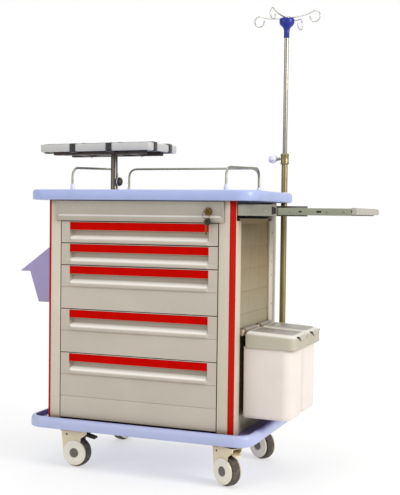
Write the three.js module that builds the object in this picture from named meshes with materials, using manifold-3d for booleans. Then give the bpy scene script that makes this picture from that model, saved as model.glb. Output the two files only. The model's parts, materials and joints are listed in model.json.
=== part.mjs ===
// Hospital crash cart: five drawers between a moulded base tray and a worktop, on four castors,
// with guard rails, a defibrillator platform, an infusion pole, a pull-out side shelf, two waste
// bins and a side storage box. Millimetres, +Z up, the drawers face -Y and the bins are on +X.
import * as THREE from 'three';
import { mergeVertices } from 'three/addons/utils/BufferGeometryUtils.js';
import Module from 'manifold-3d';

const wasm = await Module();
wasm.setup();

// ---------------------------------------------------------------- driving dimensions
const GAP = 0.3;                 // clearance between pieces that touch
const TOP_W = 820;               // worktop and base tray
const TOP_D = 500;
const TOP_T = 35;
const TOP_Z = 955;
const CORNER_R = 60;
const BASE_Z = 134;
const BASE_T = 38;
const DECK_T = 21;
const BODY_W = 684;              // across the corner columns
const FRONT_Y = -222;            // front face of the columns
const REAR_Y = 235.5;
const CHAMFER = 17;
const REAR_CHAMFER = 2;
const OPENING_W = 578;           // between the front columns
const MODULE = 75;               // height of one drawer module
const STACK_Z = 173;             // bottom of the drawer stack
const DRAWER_MODULES = [1, 1, 2, 2, 3];
const STACK_TOP = STACK_Z + MODULE * 9;
const DECK_Z = BASE_Z + DECK_T;
const TOP_UNDER = TOP_Z - TOP_T;
const TOP_FACE = TOP_Z - 3;      // recessed face of the worktop

const SHELF_Z = 888;             // middle of the pull-out shelf
const SHELF_Y0 = -190;
const SHELF_Y1 = 170;
const SHELF_END = 727;           // outer face of its handle, pulled out
const POLE = { x: 380, y: 200, lowerR: 11, boreR: 8.6, upperR: 8 };
const POLE_HEAD_Z = 1507;
const POST = { x: -236, y: 75, r: 12.5, footR: 30, top: 1088.7 };
const RAIL = { r: 4, frontZ: 1034, rearZ: 1046, socketR: 7, socketH: 24 };
const RAIL_FEET = {
  left: [[-285, -150], [-285, 200]],
  right: [[285, -150], [285, 200]],
  rear: [[-245, 222], [277, 222]],
};
const PLATFORM = { x: -261.5, y: 76, w: 466, d: 212, z: 1099, t: 28, turn: -4.8 };
const BOX_END = -490;            // lip of the side storage box
const HOOK = { reach: 131, wire: 2.5, turn: -10 };
const HOOK_REAR = 129.4;         // how far the rear hook reaches behind the pole's axis
const FIXING_DEPTH = 2;          // pockets in the worktop that locate the fittings on it
const BIN_W = 155;
const BIN_MIDDLES = { front: -70, rear: 92 };
const BIN_Z = 210;
const WHEEL_R = 50;
const CASTOR = { y: 190, trail: 38 };

// ---------------------------------------------------------------- materials
function plastic(color, roughness = 0.45) {
  return new THREE.MeshStandardMaterial({ color, roughness, metalness: 0 });
}

function metal(color, roughness = 0.3) {
  return new THREE.MeshStandardMaterial({ color, roughness, metalness: 0.9 });
}

const BLUE = plastic(0xaab4e1);
const CREAM = plastic(0xd9d3c4);
const PUTTY = plastic(0xb9b3a4);
const RED = plastic(0xc4402f, 0.35);
const GREY = plastic(0xc3c3c3);
const LILAC = plastic(0x9691be);
const WHITE = plastic(0xe9ded8);
const LID_BEIGE = plastic(0xbcb29e);
const DEEP_BLUE = plastic(0x2d46b4, 0.35);
const PALE_BLUE = plastic(0xcdd8ec);
const BLACK = plastic(0x25221f, 0.6);
const TYRE = plastic(0x4a4238, 0.8);
const STEEL = metal(0xb9b9b4);
const BRASS = metal(0xb08a3c, 0.35);

// ---------------------------------------------------------------- geometry helpers
// one closed mesh of positions only, without the slivers that a lathe leaves on its axis
function weld(geometry) {
  const bare = geometry.clone();
  bare.deleteAttribute('normal');
  bare.deleteAttribute('uv');
  const merged = mergeVertices(bare, 1e-4);
  const index = merged.index.array;
  const kept = [];
  for (let i = 0; i < index.length; i += 3) {
    const [a, b, c] = [index[i], index[i + 1], index[i + 2]];
    if (a !== b && b !== c && c !== a) kept.push(a, b, c);
  }
  merged.setIndex(kept);
  return merged;
}

function toSolid(geometry) {
  const merged = weld(geometry);
  return new wasm.Manifold(new wasm.Mesh({
    numProp: 3,
    vertProperties: new Float32Array(merged.attributes.position.array),
    triVerts: new Uint32Array(merged.index.array),
  }));
}

function toGeometry(solid) {
  const mesh = solid.getMesh();
  const geometry = new THREE.BufferGeometry();
  geometry.setAttribute('position', new THREE.BufferAttribute(mesh.vertProperties, 3));
  geometry.setIndex(new THREE.BufferAttribute(mesh.triVerts, 1));
  geometry.computeVertexNormals();
  return geometry;
}

function join(...geometries) {
  return toGeometry(geometries.map(toSolid).reduce((sum, next) => sum.add(next)));
}

function cut(geometry, ...tools) {
  return toGeometry(tools.map(toSolid).reduce((sum, next) => sum.subtract(next), toSolid(geometry)));
}

function block([x0, x1], [y0, y1], [z0, z1]) {
  const geometry = new THREE.BoxGeometry(x1 - x0, y1 - y0, z1 - z0);
  return geometry.translate((x0 + x1) / 2, (y0 + y1) / 2, (z0 + z1) / 2);
}

function outline(points) {
  return new THREE.Shape(points.map(([a, b]) => new THREE.Vector2(a, b)));
}

function roundedRectangle(width, depth, radius) {
  const [x, y] = [width / 2, depth / 2];
  const shape = new THREE.Shape();
  shape.moveTo(x, y - radius);
  shape.absarc(x - radius, y - radius, radius, 0, Math.PI / 2);
  shape.absarc(-x + radius, y - radius, radius, Math.PI / 2, Math.PI);
  shape.absarc(-x + radius, -y + radius, radius, Math.PI, Math.PI * 1.5);
  shape.absarc(x - radius, -y + radius, radius, Math.PI * 1.5, Math.PI * 2);
  return shape;
}

function upright(shape, [z0, z1], curveSegments = 8) {
  const geometry = new THREE.ExtrudeGeometry(shape, { depth: z1 - z0, bevelEnabled: false, curveSegments });
  return geometry.translate(0, 0, z0);
}

// a section drawn in Y and Z, drawn out along X
function alongX(shape, [x0, x1], curveSegments = 6) {
  const geometry = new THREE.ExtrudeGeometry(shape, { depth: x1 - x0, bevelEnabled: false, curveSegments });
  const basis = new THREE.Matrix4().makeBasis(
    new THREE.Vector3(0, 1, 0), new THREE.Vector3(0, 0, 1), new THREE.Vector3(1, 0, 0));
  return geometry.applyMatrix4(basis).translate(x0, 0, 0);
}

// a section drawn in X and Z, drawn out along Y
function alongY(shape, [y0, y1], curveSegments = 6) {
  const geometry = new THREE.ExtrudeGeometry(shape, { depth: y1 - y0, bevelEnabled: false, curveSegments });
  const basis = new THREE.Matrix4().makeBasis(
    new THREE.Vector3(1, 0, 0), new THREE.Vector3(0, 0, 1), new THREE.Vector3(0, -1, 0));
  return geometry.applyMatrix4(basis).translate(0, y1, 0);
}

// a profile of [radius, height] pairs turned about an axis, with the height rising on its outside
function turned(profile, axis = 'z', segments = 24) {
  const geometry = new THREE.LatheGeometry(profile.map(([r, h]) => new THREE.Vector2(r, h)), segments);
  if (axis === 'z') geometry.rotateX(Math.PI / 2);
  if (axis === 'x') geometry.rotateZ(-Math.PI / 2);
  return geometry;
}

function cylinder(radius, [from, to], axis = 'z', segments = 24) {
  return turned([[0, from], [radius, from], [radius, to], [0, to]], axis, segments);
}

function ring(inner, outer, [from, to], axis = 'z', segments = 24) {
  return turned([[inner, from], [outer, from], [outer, to], [inner, to], [inner, from]], axis, segments);
}

// a round rod that follows straight runs with rounded bends between the given corners
function rod(corners, radius, bend, steps, sides = 8) {
  const points = corners.map((corner) => new THREE.Vector3(...corner));
  const path = new THREE.CurvePath();
  let from = points[0];
  for (let i = 1; i < points.length - 1; i += 1) {
    const before = points[i].clone().lerp(from, bend / points[i].distanceTo(from));
    const after = points[i].clone().lerp(points[i + 1], bend / points[i].distanceTo(points[i + 1]));
    path.add(new THREE.LineCurve3(from, before));
    path.add(new THREE.QuadraticBezierCurve3(before, points[i], after));
    from = after;
  }
  path.add(new THREE.LineCurve3(from, points[points.length - 1]));
  return sweep(path, radius, steps, sides);
}

function sweep(path, radius, steps, sides = 8) {
  const section = [];
  for (let i = 0; i < sides; i += 1) {
    const angle = (i / sides) * Math.PI * 2;
    section.push([Math.cos(angle) * radius, Math.sin(angle) * radius]);
  }
  return new THREE.ExtrudeGeometry(outline(section), { steps, bevelEnabled: false, extrudePath: path });
}

// a mirror image whose triangles are turned round again, so that its faces still point out
function mirrored(geometry, axis = 'x') {
  const copy = geometry.index ? geometry.toNonIndexed() : geometry.clone();
  copy.scale(axis === 'x' ? -1 : 1, axis === 'y' ? -1 : 1, 1);
  const position = copy.attributes.position;
  for (let corner = 0; corner < position.count; corner += 3) {
    for (let value = 0; value < 3; value += 1) {
      const first = position.getComponent(corner, value);
      position.setComponent(corner, value, position.getComponent(corner + 1, value));
      position.setComponent(corner + 1, value, first);
    }
  }
  return copy;
}

// ---------------------------------------------------------------- the assembly
const crashCart = new THREE.Group();
const cart = new THREE.Group();
// the origin is on the floor in the middle of the whole outline: from the box lip to the shelf
// handle, and from the front of the worktop to the rear hook
cart.position.x = -(SHELF_END + BOX_END) / 2;
cart.position.y = -(POLE.y + HOOK_REAR - TOP_D / 2) / 2;
crashCart.add(cart);

function part(name, geometry, material, parent = cart) {
  const mesh = new THREE.Mesh(weld(geometry), material);
  mesh.name = name;
  parent.add(mesh);
  return mesh;
}

// ---------------------------------------------------------------- base tray and worktop
function baseTray() {
  const slab = upright(roundedRectangle(TOP_W, TOP_D, CORNER_R), [BASE_Z, BASE_Z + BASE_T]);
  const rim = 14;
  const deck = upright(
    roundedRectangle(TOP_W - 2 * rim, TOP_D - 2 * rim, CORNER_R - rim),
    [DECK_Z, BASE_Z + BASE_T + 5],
  );
  const hollow = block([-250, 250], [-165, 165], [BASE_Z - 5, DECK_Z - 6]);
  const socket = cylinder(POLE.lowerR + 6, [DECK_Z - 4, DECK_Z + 26]).translate(POLE.x, POLE.y, 0);
  const bore = cylinder(POLE.lowerR + 1, [DECK_Z, DECK_Z + 30]).translate(POLE.x, POLE.y, 0);
  return cut(join(cut(slab, deck, hollow), socket), bore);
}

// a pocket in the worktop's face under a round fitting
function pocket(x, y, radius) {
  return cylinder(radius + GAP, [TOP_FACE - FIXING_DEPTH, TOP_Z + 5]).translate(x, y, 0);
}

function worktop() {
  const slab = upright(roundedRectangle(TOP_W, TOP_D, CORNER_R), [TOP_UNDER, TOP_Z]);
  const rim = 16;
  const face = upright(
    roundedRectangle(TOP_W - 2 * rim, TOP_D - 2 * rim, CORNER_R - rim),
    [TOP_FACE, TOP_Z + 5],
  );
  const hollow = block([-275, 275], [-195, 195], [TOP_UNDER - 5, TOP_FACE - 6]);
  const poleHole = cylinder(POLE.lowerR + 1, [TOP_UNDER - 5, TOP_Z + 5]).translate(POLE.x, POLE.y, 0);
  const pockets = Object.values(RAIL_FEET).flat().map(([x, y]) => pocket(x, y, RAIL.socketR));
  return cut(slab, face, hollow, poleHole, pocket(POST.x, POST.y, POST.footR), ...pockets);
}

part('base_tray', baseTray(), BLUE);
part('worktop', worktop(), BLUE);

// ---------------------------------------------------------------- corner columns
const COLUMN = { inner: OPENING_W / 2, outer: BODY_W / 2, leg: 18, frontSide: 65, rearSide: 80 };
const COLUMN_Z = [DECK_Z + GAP, TOP_UNDER - GAP];
const TRIM = { width: 22.5, seat: 1.6, proud: 1.5 };

// an L section, with its outside corner cut at 45 degrees if it has a chamfer
function columnSection(faceY, inward, side, chamfer) {
  const at = (depth) => faceY + inward * depth;
  return outline([
    [COLUMN.inner, at(0)],
    [COLUMN.outer - chamfer, at(0)],
    [COLUMN.outer, at(chamfer)],
    [COLUMN.outer, at(side)],
    [COLUMN.outer - COLUMN.leg, at(side)],
    [COLUMN.outer - COLUMN.leg, at(COLUMN.leg)],
    [COLUMN.inner, at(COLUMN.leg)],
  ]);
}

// an upright strip on the 45 degree face, from outside the face to a depth below it
function onChamfer(width, [outside, depth], [z0, z1]) {
  return block([-width / 2, width / 2], [-outside, depth], [z0, z1])
    .rotateZ(Math.PI / 4)
    .translate(COLUMN.outer - CHAMFER / 2, FRONT_Y + CHAMFER / 2, 0);
}

// the shelf and its slides pass out between the tops of the right columns
const shelfSlot = block([200, 400], [SHELF_Y0 - 12.5, SHELF_Y1 + 12.5], [SHELF_Z - 32, TOP_UNDER + 5]);

for (const side of ['left', 'right']) {
  const place = side === 'left' ? mirrored : (geometry) => geometry;
  const seat = onChamfer(TRIM.width, [5, TRIM.seat], [DECK_Z - 5, TOP_UNDER + 5]);
  const slots = side === 'right' ? [shelfSlot] : [];
  const front = upright(columnSection(FRONT_Y, 1, COLUMN.frontSide, CHAMFER), COLUMN_Z);
  const rear = upright(columnSection(REAR_Y, -1, COLUMN.rearSide, REAR_CHAMFER), COLUMN_Z);
  part(`front_column_${side}`, place(cut(front, seat, ...slots)), CREAM);
  part(`rear_column_${side}`, place(cut(rear, ...slots)), CREAM);
  const strip = onChamfer(TRIM.width - 2 * GAP, [TRIM.proud, TRIM.seat - GAP], COLUMN_Z);
  part(`red_trim_${side}`, place(strip), RED);
}

// ---------------------------------------------------------------- side, back and inner panels
const PANEL = { inner: 332, outer: 336, ledge: 268, ledgeT: 5 };
const PANEL_Y = [FRONT_Y + COLUMN.frontSide + GAP, REAR_Y - COLUMN.rearSide - GAP];
const FLANGE_DROP = 12;          // from a drawer's module line down to its tray's top edge
const FLANGE_T = 3;

function drawerLevels() {
  const levels = [];
  let top = STACK_TOP;
  for (const modules of DRAWER_MODULES) {
    levels.push({ modules, top, bottom: top - modules * MODULE });
    top -= modules * MODULE;
  }
  return levels;
}

// a skin with one ledge under the flange of each drawer
function sidePanel(top) {
  const points = [
    [PANEL.outer, COLUMN_Z[0]],
    [PANEL.outer, top],
    [PANEL.inner, top],
  ];
  for (const level of drawerLevels()) {
    const face = level.top - FLANGE_DROP - FLANGE_T - GAP;
    points.push([PANEL.inner, face], [PANEL.ledge, face]);
    points.push([PANEL.ledge, face - PANEL.ledgeT], [PANEL.inner, face - PANEL.ledgeT]);
  }
  points.push([PANEL.inner, COLUMN_Z[0]]);
  return alongY(outline(points), PANEL_Y);
}

part('side_panel_left', mirrored(sidePanel(COLUMN_Z[1])), PUTTY);
part('side_panel_right', sidePanel(SHELF_Z - 24), PUTTY);

const BAY_FLOOR_Z = [STACK_TOP + 5, STACK_TOP + 9];
const backHalf = COLUMN.inner - GAP;
part('back_panel', block([-backHalf, backHalf], [REAR_Y - 11, REAR_Y - 5], COLUMN_Z), CREAM);
part('shelf_bay_floor', block([-backHalf, backHalf], [-206, REAR_Y - 11 - GAP], BAY_FLOOR_Z), PUTTY);

// ---------------------------------------------------------------- header panel and lock
const HEADER_Z = [STACK_TOP + 1.5, TOP_UNDER - 2.5];
const HEADER_W = 612;
const LOCK = { x: 252.5, z: 885, r: 9, plugR: 4.4, faceY: FRONT_Y - 6 };

function headerPanel() {
  const plate = block([-HEADER_W / 2, HEADER_W / 2], [LOCK.faceY, FRONT_Y - GAP], HEADER_Z);
  const core = block([-backHalf, backHalf], [FRONT_Y - 1, -207], HEADER_Z);
  const bore = cylinder(LOCK.r + GAP, [LOCK.faceY - 5, -200], 'y').translate(LOCK.x, 0, LOCK.z);
  return cut(join(plate, core), bore);
}

// the barrel keeps a bore for the plug that turns with the key
function lockBarrel() {
  const front = LOCK.faceY - 4;
  return turned([
    [LOCK.plugR + GAP, front],
    [LOCK.r + 3, front],
    [LOCK.r + 3, LOCK.faceY - GAP],
    [LOCK.r, LOCK.faceY - GAP],
    [LOCK.r, -206.5],
    [LOCK.plugR + GAP, -206.5],
    [LOCK.plugR + GAP, front],
  ], 'y').translate(LOCK.x, 0, LOCK.z);
}

function key() {
  const front = LOCK.faceY - 4;
  const plug = cylinder(LOCK.plugR, [front - 1, -207], 'y');
  const shank = block([-3.5, 3.5], [front - 5, front], [-1.2, 1.2]);
  const bow = block([-9, 9], [-TOP_D / 2 + 1, front - 4], [-1.2, 1.2]);
  return join(plug, shank, bow).translate(LOCK.x, 0, LOCK.z);
}

part('header_panel', headerPanel(), PUTTY);
part('lock_barrel', lockBarrel(), BRASS);
part('key', key(), BRASS);

// ---------------------------------------------------------------- drawers
const DRAWER_W = OPENING_W - 6.6;
const GRIP_W = 500;
const FRONT_GAP = 1.5;
const FRONT_BACK = -203;
const TRAY = { half: 262, flange: 272, wall: 2.5, rearY: 205 };

// the grip is a scoop under the label face that ends in a rounded lip
function drawerFront({ modules, top, bottom }) {
  const high = top - FRONT_GAP;
  const low = bottom + FRONT_GAP;
  const face = FRONT_Y;
  const section = [
    [FRONT_BACK, low],
    [FRONT_BACK, high],
    [face, high],
    [face, high - 55],
    [face - 4, high - 60],
    [face - 4, high - 68],
    [face - 2, high - 71],
  ];
  if (modules > 1) section.push([face, high - MODULE + 2]);
  section.push([face, low]);
  const scoop = outline([
    [face - 20, high - 29],
    [face - 20, high - 57],
    [face - 1, high - 57],
    [face + 9, high - 53],
    [face + 15, high - 45],
    [face + 14, high - 36],
    [face + 2, high - 29],
  ]);
  return cut(
    alongX(outline(section), [-DRAWER_W / 2, DRAWER_W / 2]),
    alongX(scoop, [-GRIP_W / 2, GRIP_W / 2]),
  );
}

function drawerTray({ top, bottom }) {
  const rim = top - FLANGE_DROP;
  const frontY = FRONT_BACK + GAP;
  const shell = block([-TRAY.half, TRAY.half], [frontY, TRAY.rearY], [bottom + 6, rim]);
  const flange = block([-TRAY.flange, TRAY.flange], [frontY, TRAY.rearY], [rim - FLANGE_T, rim]);
  const inside = block(
    [-TRAY.half + TRAY.wall, TRAY.half - TRAY.wall],
    [frontY + TRAY.wall, TRAY.rearY - TRAY.wall],
    [bottom + 9, rim + 5],
  );
  return cut(join(shell, flange), inside);
}

drawerLevels().forEach((level, index) => {
  part(`drawer_${index + 1}_front`, drawerFront(level), PUTTY);
  part(`drawer_${index + 1}_tray`, drawerTray(level), CREAM);
});

// ---------------------------------------------------------------- pull-out side shelf
const SHELF_MIDDLE_Y = (SHELF_Y0 + SHELF_Y1) / 2;
const SHELF_X0 = 326;
const HANDLE_T = 18;
const RUNNER = { fixed: [-60, 331.5], middle: [98, 473] };

function acrossShelf(geometry) {
  return mirrored(geometry, 'y').translate(0, 2 * SHELF_MIDDLE_Y, 0);
}

// a channel that opens toward the shelf, from its web's outer face to its flange tips
function channel([webY, tipY], [z0, z1], t, [x0, x1], foot = 0) {
  const section = outline([
    [webY, z0 - foot],
    [webY + t, z0 - foot],
    [webY + t, z0],
    [tipY, z0],
    [tipY, z0 + t],
    [webY + t, z0 + t],
    [webY + t, z1 - t],
    [tipY, z1 - t],
    [tipY, z1],
    [webY, z1],
  ]);
  return alongX(section, [x0, x1]);
}

// a flat plate whose long edges turn up and down into the inner members of the slides
function shelfPlate() {
  const end = SHELF_END - HANDLE_T - GAP;
  const section = outline([
    [SHELF_Y0 - 2.5, SHELF_Z - 11],
    [SHELF_Y0 + 4.5, SHELF_Z - 11],
    [SHELF_Y0 + 4.5, SHELF_Z - 4],
    [SHELF_Y1 - 4.5, SHELF_Z - 4],
    [SHELF_Y1 - 4.5, SHELF_Z - 11],
    [SHELF_Y1 + 2.5, SHELF_Z - 11],
    [SHELF_Y1 + 2.5, SHELF_Z + 11],
    [SHELF_Y1 - 4.5, SHELF_Z + 11],
    [SHELF_Y1 - 4.5, SHELF_Z + 4],
    [SHELF_Y0 + 4.5, SHELF_Z + 4],
    [SHELF_Y0 + 4.5, SHELF_Z + 11],
    [SHELF_Y0 - 2.5, SHELF_Z + 11],
  ]);
  return alongX(section, [SHELF_X0, end]);
}

// the handle is an end lip with rounded top and bottom edges
function shelfHandle() {
  const x0 = SHELF_END - HANDLE_T;
  const section = outline([
    [x0, SHELF_Z - 8],
    [SHELF_END - 5, SHELF_Z - 8],
    [SHELF_END, SHELF_Z - 3],
    [SHELF_END, SHELF_Z + 8],
    [SHELF_END - 5, SHELF_Z + 13],
    [x0, SHELF_Z + 13],
  ]);
  return alongY(section, [SHELF_Y0, SHELF_Y1]);
}

const fixedRunner = channel(
  [SHELF_Y0 - 11, SHELF_Y0 - 3],
  [SHELF_Z - 20, SHELF_Z + 24],
  1.5,
  RUNNER.fixed,
  SHELF_Z - 20 - BAY_FLOOR_Z[1] - GAP,
);
const middleRunner = channel(
  [SHELF_Y0 - 8.5, SHELF_Y0 - 3],
  [SHELF_Z - 15, SHELF_Z + 21.5],
  1.5,
  RUNNER.middle,
);
part('shelf_plate', shelfPlate(), GREY);
part('shelf_handle', shelfHandle(), LID_BEIGE);
part('shelf_runner_front', fixedRunner, STEEL);
part('shelf_runner_rear', acrossShelf(fixedRunner), STEEL);
part('shelf_slider_front', middleRunner, STEEL);
part('shelf_slider_rear', acrossShelf(middleRunner), STEEL);

// ---------------------------------------------------------------- guard rails
function guardRail([[ax, ay], [bx, by]], [az, bz], bend) {
  const foot = TOP_FACE + 8;
  const rail = rod([[ax, ay, foot], [ax, ay, az], [bx, by, bz], [bx, by, foot]], RAIL.r, bend, 44);
  const socketZ = [TOP_FACE - FIXING_DEPTH + GAP, TOP_FACE + RAIL.socketH];
  const socket = cylinder(RAIL.socketR, socketZ, 'z', 16);
  return join(rail, socket.clone().translate(ax, ay, 0), socket.translate(bx, by, 0));
}

// the side rails fall a little toward the front
part('guard_rail_left', guardRail(RAIL_FEET.left, [RAIL.frontZ, RAIL.rearZ], 38), STEEL);
part('guard_rail_right', guardRail(RAIL_FEET.right, [RAIL.frontZ, RAIL.rearZ], 38), STEEL);
part('guard_rail_rear', guardRail(RAIL_FEET.rear, [RAIL.rearZ, RAIL.rearZ], 35), STEEL);

// ---------------------------------------------------------------- defibrillator platform
function platformPost() {
  return turned([
    [0, TOP_FACE - FIXING_DEPTH + GAP],
    [POST.footR, TOP_FACE - FIXING_DEPTH + GAP],
    [POST.footR, TOP_FACE + 6],
    [POST.r, TOP_FACE + 8],
    [POST.r, POST.top],
    [0, POST.top],
  ]).translate(POST.x, POST.y, 0);
}

// a flat plate on a frame of crossed bars, turned a little about the post
function platformPlate() {
  const [w, d] = [PLATFORM.w / 2, PLATFORM.d / 2];
  const plateZ = [PLATFORM.z, PLATFORM.z + PLATFORM.t];
  const plate = upright(roundedRectangle(PLATFORM.w, PLATFORM.d, 12), plateZ, 3);
  const barZ = [PLATFORM.z - 10, PLATFORM.z + 1];
  const longBars = [-60, 60].map((y) => block([-w + 40, w - 40], [y - 12, y + 12], barZ));
  const crossBars = [-110, 110].map((x) => block([x - 12, x + 12], [-d + 30, d - 30], barZ));
  return join(plate, ...longBars, ...crossBars)
    .rotateZ(THREE.MathUtils.degToRad(PLATFORM.turn))
    .translate(PLATFORM.x, PLATFORM.y, 0);
}

function platformHub() {
  return cylinder(34, [POST.top + GAP, PLATFORM.z + 1]).translate(POST.x, POST.y, 0);
}

// the clamp knob's dome stands on a short stem beside the foot of the post
function platformKnob() {
  const stemEnd = POST.r + GAP;
  return turned([
    [0, stemEnd],
    [5, stemEnd],
    [5, stemEnd + 2],
    [16, stemEnd + 2],
    [16.5, stemEnd + 8],
    [14, stemEnd + 14],
    [8, stemEnd + 19],
    [0, stemEnd + 20.5],
  ], 'x').translate(POST.x, POST.y, TOP_FACE + 41);
}

part('platform_post', platformPost(), STEEL);
part('platform_plate', join(platformPlate(), platformHub()), GREY);
part('platform_knob', platformKnob(), BLACK);

// ---------------------------------------------------------------- infusion pole
const COLLAR = { z0: 1058, step: 1066, z1: 1097, r: 15 };
const KNOB_Z = 1078;

function atPole(geometry) {
  return geometry.translate(POLE.x, POLE.y, 0);
}

function poleCollar() {
  const body = turned([
    [POLE.lowerR + GAP, COLLAR.z0],
    [COLLAR.r, COLLAR.z0],
    [COLLAR.r, COLLAR.z1],
    [POLE.boreR, COLLAR.z1],
    [POLE.boreR, COLLAR.step + GAP],
    [POLE.lowerR + GAP, COLLAR.step + GAP],
    [POLE.lowerR + GAP, COLLAR.z0],
  ]);
  const screwHole = cylinder(3.4, [-COLLAR.r - 5, -5], 'x', 12).translate(0, 0, KNOB_Z);
  return atPole(cut(body, screwHole));
}

// the clamp screw points at the pole and carries a cone and a round grip
function poleKnob() {
  return atPole(turned([
    [0, -60],
    [9, -58],
    [15, -51],
    [16, -44],
    [13, -36],
    [7, -31],
    [5, -17],
    [3, -17],
    [3, -8.6],
    [0, -8.6],
  ], 'x').translate(0, 0, KNOB_Z));
}

// the wide cup that holds the hooks
function poleHead() {
  return atPole(turned([
    [0, POLE_HEAD_Z + GAP],
    [10, POLE_HEAD_Z + GAP],
    [10, POLE_HEAD_Z + 22],
    [14, POLE_HEAD_Z + 36],
    [26, POLE_HEAD_Z + 52],
    [27, POLE_HEAD_Z + 68],
    [0, POLE_HEAD_Z + 68],
  ]));
}

// an arc in the XZ plane, from one angle to another in degrees
class Arc extends THREE.Curve {
  constructor([x, z], radius, from, to) {
    super();
    Object.assign(this, { x, z, radius, from, to });
  }

  getPoint(t, target = new THREE.Vector3()) {
    const angle = THREE.MathUtils.degToRad(this.from + (this.to - this.from) * t);
    return target.set(this.x + this.radius * Math.cos(angle), 0, this.z + this.radius * Math.sin(angle));
  }
}

// a wire that leaves the hub, rises a little and curls over into an open ring
function poleHook(z) {
  const curl = new Arc([HOOK.reach - HOOK.wire - 19, z - 4], 19, 120, -160);
  const at = (x, rise) => new THREE.Vector3(x, 0, z + rise);
  const path = new THREE.CurvePath();
  path.add(new THREE.CubicBezierCurve3(at(4, 0), at(45, 0), at(82, 2), curl.getPoint(0)));
  path.add(curl);
  return sweep(path, HOOK.wire, 34, 6);
}

function poleHooks() {
  const z = POLE_HEAD_Z + 72;
  const turn = THREE.MathUtils.degToRad(HOOK.turn);
  const hooks = [0, 1, 2, 3].map((quarter) => poleHook(z).rotateZ(turn + (quarter * Math.PI) / 2));
  return atPole(join(cylinder(14, [z - 3.5, z + 3.5]), ...hooks));
}

// a clamp from the rear column holds the pole just below the worktop
function poleBracket() {
  const z = [SHELF_Z - 12, SHELF_Z + 16];
  const arm = block([COLUMN.outer + GAP, POLE.x], [POLE.y - 7, POLE.y + 7], z);
  const band = atPole(cylinder(POLE.lowerR + 4, z));
  const bore = atPole(cylinder(POLE.lowerR + GAP, [z[0] - 5, z[1] + 5]));
  return cut(join(arm, band), bore);
}

part('iv_pole_lower', atPole(ring(POLE.boreR, POLE.lowerR, [DECK_Z + GAP, COLLAR.step])), STEEL);
part('iv_pole_upper', atPole(cylinder(POLE.upperR, [650, POLE_HEAD_Z])), STEEL);
part('iv_pole_collar', poleCollar(), STEEL);
part('iv_pole_knob', poleKnob(), PALE_BLUE);
part('iv_pole_head', poleHead(), DEEP_BLUE);
part('iv_pole_hooks', poleHooks(), STEEL);
part('iv_pole_bracket', poleBracket(), STEEL);

// ---------------------------------------------------------------- waste bins
const BIN = { x0: 352, x1: 514, wall: 3, rim: 446, hookZ: 503.5 };
const LID = { x0: 357, x1: 532, w: 162, skirt: 440, high: 498, low: 488 };
const HANGER = { x: [COLUMN.outer + GAP, COLUMN.outer + 8], z: [480, 500] };

function binSection(x0, x1, width, radius) {
  const half = width / 2;
  const shape = new THREE.Shape();
  shape.moveTo(x0, -half);
  shape.lineTo(x1 - radius, -half);
  shape.absarc(x1 - radius, -half + radius, radius, -Math.PI / 2, 0);
  shape.absarc(x1 - radius, half - radius, radius, 0, Math.PI / 2);
  shape.lineTo(x0, half);
  return shape;
}

// an open bin whose back wall rises to a hook over the hanger rail
function binBody() {
  const outer = upright(binSection(BIN.x0, BIN.x1, BIN_W, 32), [BIN_Z, BIN.rim], 5);
  const inner = upright(
    binSection(BIN.x0 + BIN.wall, BIN.x1 - BIN.wall, BIN_W - 2 * BIN.wall, 29),
    [BIN_Z + BIN.wall, BIN.rim + 5],
    5,
  );
  const backWall = block([BIN.x0, BIN.x0 + BIN.wall], [-60, 60], [BIN.rim - 20, BIN.hookZ]);
  const hookTop = block([COLUMN.outer - 3.4, BIN.x0 + 1], [-60, 60], [HANGER.z[1] + GAP, BIN.hookZ]);
  const hookTip = block([COLUMN.outer - 3.4, COLUMN.outer - 0.4], [-60, 60], [HANGER.z[0] + 8, BIN.hookZ]);
  return join(cut(outer, inner), backWall, hookTop, hookTip);
}

// a sloping cap with a skirt on its three free sides
function binLid() {
  const cap = upright(binSection(LID.x0, LID.x1, LID.w, 36), [LID.skirt, LID.high], 5);
  const inner = upright(binSection(LID.x0 - 5, LID.x1 - 3, LID.w - 6, 33), [LID.skirt - 5, LID.low - 6], 5);
  const slope = alongY(outline([
    [LID.x0 - 5, LID.high],
    [LID.x1 + 5, LID.low],
    [LID.x1 + 5, LID.high + 20],
    [LID.x0 - 5, LID.high + 20],
  ]), [-LID.w, LID.w]);
  return cut(cap, inner, slope);
}

for (const [place, middle] of Object.entries(BIN_MIDDLES)) {
  part(`bin_${place}`, binBody().translate(0, middle, 0), WHITE);
  part(`bin_lid_${place}`, binLid().translate(0, middle, 0), LID_BEIGE);
}

// the rail rests on the rear column and on two pads on the side panel, clear of the bins' hooks
function hangerRail() {
  const pads = [[-145, -133], [4, 18]];
  const standoffs = pads.map((y) => block([PANEL.outer + GAP, HANGER.x[0] + 1], y, HANGER.z));
  return join(block(HANGER.x, [-145, 167], HANGER.z), ...standoffs);
}

part('bin_hanger_rail', hangerRail(), CREAM);

// ---------------------------------------------------------------- side storage box
const STORAGE = {
  half: 150,
  wall: 3,
  back: -343,
  top: 778,
  bottom: 559,
  front: -418,
  lipX: -454,
  lipZ: 667,
};

// a wedge shaped pocket with a flared lip, open along its sloping top
function storageBox() {
  const { half, bottom, top, back, lipZ, front, lipX, wall } = STORAGE;
  const outer = alongY(outline([
    [back, bottom],
    [back, top],
    [BOX_END, lipZ + wall],
    [BOX_END, lipZ],
    [lipX, lipZ],
    [front, bottom],
  ]), [-half, half]);
  const inner = alongY(outline([
    [back - wall, bottom + wall],
    [back - wall, top + 30],
    [BOX_END - 10, top + 30],
    [BOX_END - 10, lipZ + wall],
    [lipX + wall, lipZ + wall],
    [front + wall, bottom + wall],
  ]), [-half + wall, half - wall]);
  const boss = block([back - 1, -PANEL.outer - GAP], [-120, 120], [710, 760]);
  return join(cut(outer, inner), boss);
}

part('storage_box', storageBox(), LILAC);

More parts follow.
